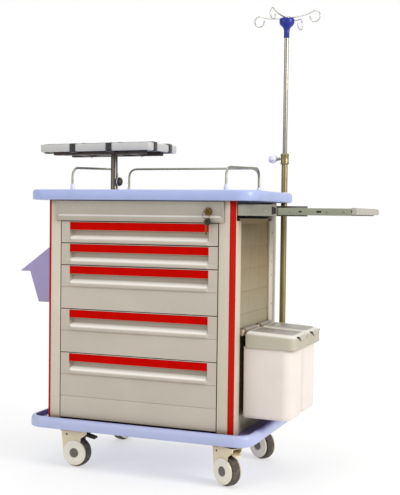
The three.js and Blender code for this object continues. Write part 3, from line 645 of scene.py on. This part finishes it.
def drawer_front(modules, top, bottom):
    """From the top: a seat for the label strip, a scoop for the fingers, and a rounded lip."""
    high, low = top - FRONT_GAP, bottom + FRONT_GAP
    seat = [(0, 0), (0, 1.4), (1.6, 2.0), (1.6, 28.4), (3.0, 29.4)]
    scoop = [(13.0, 30.2), (16.2, 31.5), (16.8, 36), (16.2, 41), (15.0, 45), (12.8, 48), (9.8, 50.4),
             (6.4, 52.6), (3.0, 54.8), (0, 57), (-2.6, 59.4), (-4.4, 62.2), (-5.0, 65.2), (-4.2, 68.2),
             (-2.4, 70.6), (0, 71.8)]
    profile = [(depth, high - drop, 1.2) for depth, drop in seat]
    profile += [(depth, high - drop, 9) for depth, drop in scoop]
    for line in range(1, modules):
        z = top - line * MODULE
        groove = [(0, 1.4), (1.8, 0.7), (1.8, 0), (0.7, -2.4), (0, -5)]
        profile += [(depth, z + rise, 0) for depth, rise in groove]
    return moulded_front(profile + [(0, low, 0)], low, high, DRAWER_HALF, GRIP, FRONT_Y, FRONT_BACK)


def make_drawers():
    for number, (modules, top, bottom) in enumerate(drawer_levels(), 1):
        body = f"drawer_{number}"
        # the putty finish paints shade into the scoop and a highlight onto the lip
        piece(f"{body}_moulding", drawer_front(modules, top, bottom), "putty_abs", body,
              [f"{body}_front"], bevel=0.7, crease=34)
        high = top - FRONT_GAP
        strip = box((-GRIP + 0.8, FRONT_Y + 0.3, high - 28.2), (GRIP - 0.8, FRONT_Y + 1.9, high - 2.2))
        piece(f"{body}_label", strip, "label", body, bevel=0.5)


def make_header():
    low, high = cart_box("header_panel")
    drops = [(0, 0), (0, 3), (2.6, 5), (3.0, 13), (3.2, 26), (3.2, 39), (3.0, 46), (0.4, 48.8),
             (-2.6, 51.6), (-3, 55), (-3, 60), (-1.6, 63), (0.4, 64.4)]
    profile = [(depth, high.z - drop, 7) for depth, drop in drops] + [(0.6, low.z, 0)]
    plate = moulded_front(profile, low.z, high.z, high.x, high.x - 6, low.y, low.y + 6)
    core = box((-288.7, FRONT_Y + 0.4, low.z), (288.7, -207, high.z))
    # the header's finish is the putty plastic darkened with painted shade
    piece("header_moulding", merged(plate, core), "shaded_header_putty", "frame", ["header_panel"],
          bevel=0.6, crease=34)


# ------ lock and keys
def pierced_disc(hole, flat, edge, half):
    return lathe([(hole, -half), (flat, -half), (edge, 0), (flat, half), (hole, half), (hole, -half)], 28)


def make_lock():
    low, high = cart_box("lock_barrel")
    x, z, front = (low.x + high.x) / 2, (low.z + high.z) / 2, low.y
    section = [(4.7, 0.6), (6, -0.6), (10.6, -0.6), (11.8, 0.8), (12, 4), (12, 8), (9.2, 8), (9, 21),
               (4.7, 21), (4.7, 0.6)]
    barrel = facing(lathe(section), (0, 1, 0), (x, front, z))
    piece("lock_barrel_turned", barrel, "brass", "frame", ["lock_barrel"])

    plug = facing(lathe([(0, -1.2), (3.6, -1.2), (4.4, -0.4), (4.4, 20.5), (0, 20.5)]), (0, 1, 0),
                  (x, front, z))
    shank = box((x - 3, front - 7, z - 1), (x + 3, front + 1, z + 1))
    bow_y = front - 11.5
    bow_section = [(2.6, -1.2), (8.6, -1.2), (9.2, -0.6), (9.2, 0.6), (8.6, 1.2), (2.6, 1.2), (2.6, -1.2)]
    bow = loft([[Vector((x + radius * cos(a), bow_y + radius * 0.62 * sin(a), z + rise))
                 for a in around(28)] for radius, rise in bow_section], (False, False))
    piece("key_blade_and_bow", merged(plug, shank, bow), "brass", "key", ["key"])

    # the second key hangs from the ring that passes through the first one's bow
    ring_r = 12.5
    ring_path = [Vector((x + ring_r * sin(a), bow_y + 1.2 * sin(a), z - 11 + ring_r * cos(a)))
                 for a in around(32) + [2 * pi]]
    blade = box((x - 2.8, bow_y - 0.9, z - 74), (x + 1.6, bow_y + 0.9, z - 44))
    bits = [box((x + 1.4, bow_y - 0.9, z - 74 + 7 * k), (x + 3.4, bow_y + 0.9, z - 70.5 + 7 * k))
            for k in range(3)]
    head = facing(pierced_disc(3, 9.5, 10, 0.9), (0, 1, 0), (x, bow_y, z - 35))
    tag = facing(pierced_disc(2.4, 10.5, 11.5, 1.5), (0.15, 1, 0), (x + 7, bow_y - 3.4, z - 33))
    piece("spare_key_on_ring", merged(tube(ring_path, 0.9, 8), blade, *bits, head), "brass", "frame")
    piece("key_tag", tag, "black_plastic", "frame", bevel=0.4)


# ------ pull-out shelf
def make_shelf():
    near, far = SHELF_LOW.y, SHELF_HIGH.y
    outside = near - 0.2
    holes = []
    for x, half_length, half_height in ((608, 8, 3.2), (548, 5, 2.6)):
        stadium = [(x + sx * (half_length - half_height) + half_height * cos(a),
                    SHELF_Z + half_height * sin(a))
                   for sx, start in ((1, -pi / 2), (-1, pi / 2))
                   for a in (start + pi * k / 8 for k in range(9))]
        holes += [prism(stadium, "Y", outside - 0.35, near + 0.6),
                  prism(stadium, "Y", far - 0.6, far + 0.55)]
    piece("slide_slots", merged(*holes), "black_plastic", "shelf")
    pins = [screw((x, y, SHELF_Z), (0, way, 0), 4) for y, way in ((near, -1), (far, 1))
            for x in (520, 638, 690)]
    piece("slide_screws", merged(*pins), "steel", "shelf")

    slider_low, slider_high = cart_box("shelf_slider_front")
    rear_high = cart_box("shelf_slider_rear")[1]
    end = slider_high.x
    wedge = [(end - back, SHELF_Z + rise) for back, rise in ((16, -11), (2, -7), (2, 11), (16, 16))]
    stops = [prism(wedge, "Y", slider_low.y - 0.9, slider_low.y + 1),
             prism(wedge, "Y", rear_high.y - 1, rear_high.y + 0.9)]
    piece("slide_end_stops", merged(*stops), "black_plastic", "shelf_sliders", bevel=0.4)
    rivet = lathe([(0, -0.4), (3.4, -0.4), (3.4, 0.2), (2.8, 0.4), (0, 0.4)], 24)
    rivets = [facing(rivet, (0, way, 0), (x, y, SHELF_Z)) for x in (end - 34, end - 90)
              for way, y in ((-1, slider_low.y), (1, rear_high.y))]
    piece("slide_rivets", merged(*rivets), "steel", "shelf_sliders")

    low, high = cart_box("shelf_handle")
    x0, x1 = low.x, high.x
    section = [(x0, low.z), (x1 - 8, low.z), (x1 - 3, low.z + 1.6), (x1, low.z + 6), (x1, high.z - 7),
               (x1 - 2.4, high.z - 2.2), (x1 - 7, high.z), (x0 + 3, high.z), (x0, high.z - 2),
               (x0, high.z - 9), (x0 + 4, high.z - 10), (x0 + 4, low.z + 9), (x0, low.z + 8)]
    piece("shelf_handle_moulding", prism(section, "Y", low.y, high.y), "handle_beige", "shelf",
          ["shelf_handle"], bevel=1.6, segments=3, crease=30)
    sheet = box((SHELF_LOW.x + 4, near + 8, SHELF_Z + 4), (SHELF_HIGH.x - 2, far - 8, SHELF_Z + 5.2))
    piece("shelf_liner", sheet, "grey_abs", "shelf", bevel=0.5)


# ------ guard rails
RAIL_FALL = 12  # the side rails' front ends are lower by this much


def make_guard_rails():
    foot, rod_r, socket_r = TOP_FACE, 4, 7
    for node, bend in (("guard_rail_left", 38), ("guard_rail_right", 38), ("guard_rail_rear", 35)):
        low, high = cart_box(node)
        rear_z = high.z - rod_r
        middle = (low + high) / 2
        if node == "guard_rail_rear":
            ends, front_z = [(low.x + socket_r, middle.y), (high.x - socket_r, middle.y)], rear_z
        else:
            ends = [(middle.x, low.y + socket_r), (middle.x, high.y - socket_r)]
            front_z = rear_z - RAIL_FALL
        (ax, ay), (bx, by) = ends
        path = bent([(ax, ay, foot + 4), (ax, ay, front_z), (bx, by, rear_z), (bx, by, foot + 4)], bend, 12)
        piece(f"{node}_rod", tube(path, rod_r, 20), "steel", "frame", [node])
        socket = lathe([(0, 0), (11, 0), (11, 2.5), (8.4, 4.5), (7.4, 12), (7.0, 19), (6.2, 22.5),
                        (4.1, 23), (0, 23)], 32, foot)
        sockets = [placed(socket, (x, y, 0.3)) for x, y in ends]
        piece(f"{node}_sockets", merged(*sockets), "pale_blue_plastic", "frame")


# ------ defibrillator platform
PLATFORM_TURN = -4.8
PLATE = Vector((-261.5, 76, 0))  # middle of the plate
STRAPS_X = (-87.5, 66.5)


def on_platform(shape):
    return placed(shape, PLATE, PLATFORM_TURN)


def make_platform():
    top = cart_box("platform_plate")[1].z
    bottom = top - 28
    half_x, half_y = 233, 106
    rows = [(14, 14, bottom + 5), (8, 8, bottom + 5), (6.5, 12, bottom + 1.2), (4, 10, bottom),
            (1, 13, bottom + 1), (0, 12, bottom + 4), (0, 12, top - 4), (1.2, 11, top - 1.2), (4, 8, top),
            (9, 6, top - 0.2), (10.5, 5, top - 2.2)]
    plate = loft([rounded_ring(half_x - inset, half_y - inset, radius, z, 6) for inset, radius, z in rows])
    field = loft([rounded_ring(half_x - inset, half_y - inset, 5, z, 6)
                  for inset, z in ((10, top - 6), (10, top - 2), (11.5, top - 1))])
    piece("platform_tray", on_platform(merged(plate, field)), "grey_abs", "platform", ["platform_plate"],
          crease=34)

    bars = [box((-half_x + 40, y - 13, bottom - 10), (half_x - 40, y + 13, bottom + 4)) for y in (-60, 60)]
    bars += [box((x - 13, -half_y + 30, bottom - 8), (x + 13, half_y - 30, bottom + 4))
             for x in (-110, 110)]
    arm = prism([(-9, 0), (9, 0), (6, 108), (-6, 108)], "Z", bottom - 9, bottom + 4)
    bars += [placed(arm, (0, 0, 0), degrees(atan2(-sx * 1.55, sy))) for sx in (-1, 1) for sy in (-1, 1)]
    hub = lathe([(0, -10), (34, -10), (36, -8), (36, 4), (0, 4)], foot=bottom)
    bars.append(placed(hub, (POST.x - PLATE.x, POST.y - PLATE.y, 0)))
    piece("platform_frame", on_platform(merged(*bars)), "dark_frame", "platform", bevel=1.6)

    screws = [screw((x, y, bottom - 10), (0, 0, -1), 4) for x in (-110, 110) for y in (-60, 60)]
    piece("platform_frame_screws", on_platform(merged(*screws)), "steel", "platform")

    bands = [strap_loop(x, half_y, top, bottom) for x in STRAPS_X]
    bands += [placed(strap_loop(y, half_x, top + 1.8, bottom), (0, 0, 0), 90) for y in (-62.7, 48.5)]
    buckles = [placed(buckle(), (x, -18, top + 2.2)) for x in STRAPS_X]
    piece("platform_straps", on_platform(merged(*bands)), "strap", "platform", crease=60)
    piece("platform_strap_buckles", on_platform(merged(*buckles)), "black_plastic", "platform", bevel=0.7)


def strap_loop(x, half_y, top, bottom, wide=12, thick=1.6, tuck=36):
    """A strap over the plate that tucks under both of its edges. wide is half the strap's width."""
    out = half_y + 1.2
    corners = [(x, -half_y + tuck, bottom - 2.2), (x, -out, bottom - 2.2), (x, -out, top + 1.2),
               (x, out, top + 1.2), (x, out, bottom - 2.2), (x, half_y - tuck, bottom - 2.2)]
    section = [(-1, -0.6), (-0.97, -1), (0.97, -1), (1, -0.6), (1, 0.6), (0.97, 1), (-0.97, 1), (-1, 0.6)]
    path = bent(corners, 4, 5)
    rings = []
    for point, ahead in zip(path, headings(path)):
        normal = ahead.cross(Vector((1, 0, 0)))
        rings.append([point + Vector((side * wide, 0, 0)) + normal * rise * thick / 2
                      for side, rise in section])
    return loft(rings)


def buckle():
    """A side-release buckle: a rounded block with a waist and a raised middle."""
    outline = [(-15, -20), (15, -20), (15, -6), (12, -2), (12, 4), (15, 8), (15, 20), (-15, 20), (-15, 8),
               (-12, 4), (-12, -2), (-15, -6)]
    body = prism(outline, "Z", -0.8, 4.6)
    ridge = box((-8, -14, 4), (8, 14, 6.2))
    return merged(body, ridge)


def make_platform_post():
    low, high = cart_box("platform_post")
    r, foot = 12.5, TOP_FACE
    profile = [(0, low.z), (30, low.z), (30, foot + 3.4), (28.5, foot + 5.2), (16, foot + 6.4),
               (r + 1.2, foot + 9), (r, foot + 14), (r, high.z), (0, high.z)]
    # the post's steel is darkened with painted shadow of the platform above it
    piece("platform_post_tube", placed(lathe(profile), (POST.x, POST.y, 0)), "shaded_steel", "platform",
          ["platform_post"], crease=40)
    studs = [screw((POST.x + 23 * cos(a), POST.y + 23 * sin(a), foot + 5.1), (0, 0, 1), 3)
             for a in (pi * (2 * k + 1) / 4 for k in range(4))]
    piece("platform_post_screws", merged(*studs), "steel", "platform")

    low, high = cart_box("platform_knob")
    z = (low.z + high.z) / 2
    stem = lathe([(0, 0), (9, 0), (12.5, 0.8), (15.4, 3), (16, 5), (15.4, 6.6), (0, 6.6)])
    piece("platform_knob_boss", facing(stem, (1, 0, 0), (low.x, POST.y, z)), "pale_blue_plastic",
          "platform_knob", ["platform_knob"])
    dome = fluted([(0, 6), (14.6, 6), (16, 7.4), (16.2, 9.5), (15, 13), (12.5, 16.2), (8.6, 18.8),
                   (4, 20.2), (0, 20.5)], 10, 0.04)
    piece("platform_knob_dome", facing(dome, (1, 0, 0), (low.x, POST.y, z)), "dark_frame",
          "platform_knob", crease=50)


def fluted(profile, lobes, depth):
    """A turned grip whose outline waves in and out."""
    points, faces = lathe(profile, 80)
    shaped = []
    for point in points:
        wave = 1 + depth * cos(lobes * atan2(point.y, point.x))
        shaped.append(Vector((point.x * wave, point.y * wave, point.z)))
    return shaped, faces


# ------ infusion pole
HOOK_REACH = 131  # from the pole's axis to the hooks' outer sides
HOOK_TURN = -10


def make_pole():
    def at_pole(shape):
        return placed(shape, (POLE.x, POLE.y, 0))

    low, high = cart_box("iv_pole_lower")
    lower = lathe([(8.6, low.z), (11, low.z), (11, high.z), (8.6, high.z), (8.6, low.z)], 64)
    piece("pole_lower_tube", at_pole(lower), "warm_steel", "frame", ["iv_pole_lower"])
    low, high = cart_box("iv_pole_upper")
    upper = lathe([(0, low.z), (7.4, low.z), (8, low.z + 1), (8, high.z), (0, high.z)], 64)
    piece("pole_upper_tube", at_pole(upper), "steel", "iv_pole", ["iv_pole_upper"])

    low, high = cart_box("iv_pole_collar")
    top = high.z - low.z
    collar = lathe([(11.4, 0), (14, 0), (15, 1.5), (15, 8), (14.2, 9.5), (14.2, top - 11), (15, top - 9.5),
                    (15, top - 3), (13, top - 0.6), (8.7, top), (8.7, 8.4), (11.4, 8.4), (11.4, 0)], 56,
                   low.z)
    piece("pole_collar_turned", at_pole(collar), "warm_steel", "frame", ["iv_pole_collar"])

    low, high = cart_box("iv_pole_knob")
    z = (low.z + high.z) / 2
    reach = POLE.x - low.x
    thread = [(0, 8.7), (3, 8.7), (3, 16.5), (5, 17), (6.5, 22), (6.5, 30), (0, 30)]
    piece("pole_knob_stem", facing(lathe(thread), (-1, 0, 0), (POLE.x, POLE.y, z)), "steel", "iv_knob",
          ["iv_pole_knob"])
    grip = fluted([(0, 29), (7, 29.5), (11.5, 33), (14.6, 38.5), (15.8, 44.5), (14.8, 51), (11.5, 56.4),
                   (6, reach - 0.6), (0, reach)], 7, 0.05)
    piece("pole_knob_grip", facing(grip, (-1, 0, 0), (POLE.x, POLE.y, z)), "pale_blue_plastic", "iv_knob",
          crease=50)

    head = lathe([(8.2, 0), (9.4, 0), (10, 1), (10, 24), (10.6, 29), (12.4, 34), (16.5, 39.5), (22, 44),
                  (25.4, 48.5), (26.8, 54), (27, 62), (26.6, 66), (25, 68), (21, 68), (19.5, 66.5),
                  (0, 66)], 64, cart_box("iv_pole_head")[0].z)
    piece("pole_head_moulding", at_pole(head), "deep_blue_plastic", "iv_pole", ["iv_pole_head"], crease=50)

    wire, curl = 2.5, 19
    curl_x, curl_z = HOOK_REACH - wire - curl, cart_box("iv_pole_hooks")[1].z - wire - curl
    hub_z = curl_z + 4

    def on_curl(bearing):
        angle = radians(bearing)
        return Vector((curl_x + curl * cos(angle), 0, curl_z + curl * sin(angle)))

    arm = [Vector((4, 0, hub_z)), Vector((45, 0, hub_z)), Vector((82, 0, hub_z + 2)), on_curl(120)]
    path = []
    for step in range(20):
        t = step / 20
        weights = ((1 - t) ** 3, 3 * t * (1 - t) ** 2, 3 * t ** 2 * (1 - t), t ** 3)
        path.append(sum((w * p for w, p in zip(weights, arm)), Vector()))
    path += [on_curl(120 - 300 * step / 40) for step in range(41)]
    hook = merged(tube(path, wire, 12), ball(path[-1], 3.2))
    hooks = [placed(hook, (0, 0, 0), HOOK_TURN + 90 * quarter) for quarter in range(4)]
    hub = lathe([(0, -4), (13, -4), (14, -3), (14, 2), (12, 4.2), (5, 5.6), (0, 5.8)], foot=hub_z)
    piece("pole_hook_wires", at_pole(merged(hub, *hooks)), "bright_wire", "iv_pole", ["iv_pole_hooks"],
          crease=45)


# ------ waste bins
def d_ring(back, front, half, corner, z, soft=4):
    """A bin outline: a flat back with slightly soft corners and a front with large ones."""
    far, near = front - corner, back + soft
    return cornered([(far, half - corner, corner), (near, half - soft, soft), (near, soft - half, soft),
                     (far, corner - half, corner)], z, 7)


BIN_HOOK_DEPTH = 13.4  # how far a bin's hook reaches behind its back wall
BIN_HOOK_RISE = 57.5  # and above its rim


def bin_shell(low, high, rim):
    """A tapered bucket with a rounded foot, a stepped band below its rim, and a rolled rim."""
    back, front, half = low.x + BIN_HOOK_DEPTH, high.x, (high.y - low.y) / 2
    bottom = low.z
    outside = [(14, bottom), (5, bottom + 1.6), (1.5, bottom + 6), (0.8, bottom + 14), (0, rim - 34),
               (0, rim - 6), (-1.4, rim - 4), (-1.4, rim - 1), (0, rim), (2.2, rim), (3, rim - 2)]
    inside = [(3, rim - 30), (4, bottom + 12), (8, bottom + 5), (16, bottom + 3.4)]
    rings = [d_ring(back + max(0, inset) * 0.4, front - inset, half - inset, 32 - inset, z)
             for inset, z in outside + inside]
    return loft(rings)


def make_bins():
    for place in ("front", "rear"):
        low, high = cart_box(f"bin_{place}")
        middle = (low.y + high.y) / 2
        rim = high.z - BIN_HOOK_RISE
        wall_x = low.x + BIN_HOOK_DEPTH
        hook = [box((wall_x, -60, rim - 20), (wall_x + 3, 60, high.z)),
                box((low.x, -60, high.z - 3.2), (wall_x + 1, 60, high.z)),
                box((low.x, -60, high.z - 15.5), (low.x + 3, 60, high.z - 1))]
        piece(f"bin_{place}_bucket", placed(bin_shell(low, high, rim), (0, middle, 0)), "white_abs",
              f"bin_{place}", [f"bin_{place}"], crease=34)
        piece(f"bin_{place}_hanger", placed(merged(*hook), (0, middle, 0)), "lid_grey", f"bin_{place}",
              bevel=0.5)
        make_lid(place, middle)


def make_lid(place, middle):
    low, high = cart_box(f"bin_lid_{place}")
    back, front, half = low.x, high.x, (high.y - low.y) / 2
    skirt = low.z

    def level(drop):
        return lambda x: high.z - drop - 10 * (x - back) / (front - back)

    rows = [(3, skirt + 8), (2.6, skirt + 0.6), (0.8, skirt), (0, skirt + 2), (-0.6, skirt + 5),
            (0.6, skirt + 8), (0.6, level(16)), (1.6, level(12)), (4.5, level(7.5)), (9, level(3.6)),
            (14, level(1.1)), (18, level(0.2)), (20.5, level(0.5)), (21.5, level(1.8))]
    rings = [d_ring(back + max(0, inset) * 0.5, front - inset, half - inset, 36 - inset, z, 5)
             for inset, z in rows]
    edge = high.z - 14
    slots = [prism([(side * 56, edge), (side * 48, edge), (side * 24, edge - 15), (side * 32, edge - 15)],
                   "X", front - 6, front + 0.7) for side in (-1, 1)]
    flap = prism([(-49, edge + 1), (49, edge + 1), (25, edge - 16), (-25, edge - 16)], "X", front - 7,
                 front + 1.4)
    name = f"bin_lid_{place}"
    # the beige finish paints a highlight onto the cap's rim
    piece(f"{name}_cap", placed(merged(loft(rings), flap), (0, middle, 0)), "beige_abs", name, [name],
          bevel=0.5, crease=32)
    inner = loft([d_ring(back + inset * 0.5, front - inset, half - inset, 36 - inset, level(drop), 5)
                  for inset, drop in ((20.5, 4), (20.5, 1.6), (22, 1.2))])
    piece(f"{name}_panel", placed(inner, (0, middle, 0)), "lid_grey", name)
    piece(f"{name}_catch_slots", placed(merged(*slots), (0, middle, 0)), "black_plastic", name)
    pins = [facing(lathe([(0, 0), (3, 0), (3, 14), (0, 14)], 20), (0, 1, 0), (back + 1.5, y, high.z - 12))
            for y in (middle - half + 1, middle + half - 15)]
    piece(f"{name}_hinge_pins", merged(*pins), "steel", name)


# ------ storage box
def make_storage_box():
    low, high = cart_box("storage_box")
    half = (high.y - low.y) / 2
    pad = lathe([(0, 0), (9, 0), (9, 2), (4, 3.4), (0, 3.4)], 24)
    for end, y in (("near", -90), ("far", 90)):
        piece(f"storage_box_screw_{end}", facing(pad, (-1, 0, 0), (-345.8, y, high.z - 42)), "steel",
              "frame")
    lip = bent([(low.x + 1.5, -half + 1.5, low.z + 110), (low.x + 1.5, half - 1.5, low.z + 110)], 1)
    piece("storage_box_lip_bead", tube(lip, 2.6, 14), "lilac_abs", "frame")


# ------ castors
CASTORS = {  # swivel axis (x, y) and turn in degrees
    "front_left": (-274, -190, 0),
    "front_right": (290, -190, -29),
    "rear_left": (-274, 190, 75),
    "rear_right": (288, 190, -30),
}
WHEEL_R = 50
TRAIL = 38  # from the swivel axis to the axle
COVER_Y = 21.1  # from a wheel's middle plane to a cover's foot
RACE_FOOT = 122  # the swivel race on top of the fork


def make_castor(place, base_x, base_y, turn):
    fork = f"castor_{place}"

    def at_castor(shape):
        return placed(shape, (base_x, base_y, 0), turn)

    tread = [(WHEEL_R - 3.6, 15.2), (WHEEL_R - 1.2, 12.5), (WHEEL_R - 0.2, 9), (WHEEL_R, 4), (WHEEL_R, 0)]
    half_profile = [(5.4, 13), (12, 13), (13.5, 11.5), (33, 11), (35, 12.6), (36.5, 14.8), (39, 15.6),
                    (WHEEL_R - 6, 15.8)] + tread
    profile = [(r, -h) for r, h in half_profile] + half_profile[-2::-1]
    profile.append(profile[0])
    wheel = facing(lathe(profile, 72), (0, 1, 0), (TRAIL, 0, WHEEL_R))
    piece(f"{fork}_tyre", at_castor(wheel), "tyre", f"{fork}_wheel", [f"{fork}_wheel"], crease=28)

    covers, caps = [], []
    for side in (-1, 1):
        cover = lathe([(0, 0.4), (43.2, 0.4), (43.4, 1.4), (42, 2.6), (38.5, 3.2), (36, 2.3), (34, 2.6),
                       (27, 3.6), (21, 4.1), (18.5, 3.4), (17, 2.8), (0, 2.8)], 64)
        covers.append(facing(cover, (0, side, 0), (TRAIL, side * COVER_Y, WHEEL_R)))
        cap = lathe([(0, 2.4), (15.8, 2.4), (16, 3.6), (14.6, 5), (12, 5.6), (7, 5.0), (6, 5.8), (0, 6.2)],
                    48)
        caps.append(facing(cap, (0, side, 0), (TRAIL, side * COVER_Y, WHEEL_R)))
        caps.append(screw((8, side * 21.4, 112), (0, side, 0), 3.6))
    piece(f"{fork}_covers", at_castor(merged(*covers)), "castor_white", fork, crease=30)
    piece(f"{fork}_hub_caps", at_castor(merged(*caps)), "hub_grey", fork, crease=34)

    race = lathe([(0, 0), (24, 0), (27, 3), (27, 7), (29.5, 8), (29.5, 11.6), (0, 11.6)], 48, RACE_FOOT)
    piece(f"{fork}_swivel_race", at_castor(race), "steel", fork)
    if place.startswith("front"):
        length, finish, slot = ((110, "black_plastic", "black_plastic") if place.endswith("left")
                                else (92, "castor_cream", "cream_abs"))
        treads = [box((length - 20 + 5 * k, -11, 113.6 - 2 * k), (length - 17.5 + 5 * k, 11, 114 - 1.9 * k))
                  for k in range(4)]
        piece(f"{fork}_pedal_ribs", at_castor(merged(*treads)), finish, f"{fork}_pedal", bevel=0.5)


# ------ floor
def make_floor():
    surface = Surface("studio_floor", 0.9, Specular_IOR_Level=0.1, Emission_Color=(1, 1, 1, 1))
    tone = surface.span(surface.noise(2, 4), (0.3, 0.7), (0, 1))
    near = surface.mix(tone, rgb((0.86, 0.86, 0.86)), rgb((0.9, 0.9, 0.9)))
    distance = surface.add("VectorMath", {"Vector": surface.place}, operation="LENGTH")
    away = surface.span(distance.outputs["Value"], (0.2, 2.6), (0.5, 1))
    surface.colour(surface.mix(away, near, rgb((0, 0, 0))))
    surface.feed(surface.shader.inputs["Emission Strength"], away)
    surface.bump([(surface.noise(300, 2), 0.05, 0.0003)])
    work = bmesh.new()
    bmesh.ops.create_grid(work, x_segments=4, y_segments=4, size=14)
    mesh = bpy.data.meshes.new("floor")
    work.to_mesh(mesh)
    work.free()
    mesh.materials.append(surface.material)
    floor = into_scene("floor", mesh)
    floor.location = (0, 0, cad_low.z - 0.0004)


make_camera()
make_studio()
make_floor()
NODE_FINISHES = {f"castor_{place}_fork": "castor_cream" for place in CASTORS}
NODE_FINISHES["shelf_plate"] = "slide_grey"
NODE_FINISHES["castor_front_right_pedal"] = "castor_cream"
finish_cad_nodes({"storage_box": 1.2, "shelf_plate": 0.9, "bin_hanger_rail": 1.5, "red_trim_left": 2.4,
                   "red_trim_right": 2.4}, NODE_FINISHES)
make_slabs()
make_panels()
make_drawers()
make_header()
make_lock()
make_shelf()
make_guard_rails()
make_platform()
make_platform_post()
make_pole()
make_bins()
make_storage_box()
for castor_place, stand in CASTORS.items():
    make_castor(castor_place, *stand)
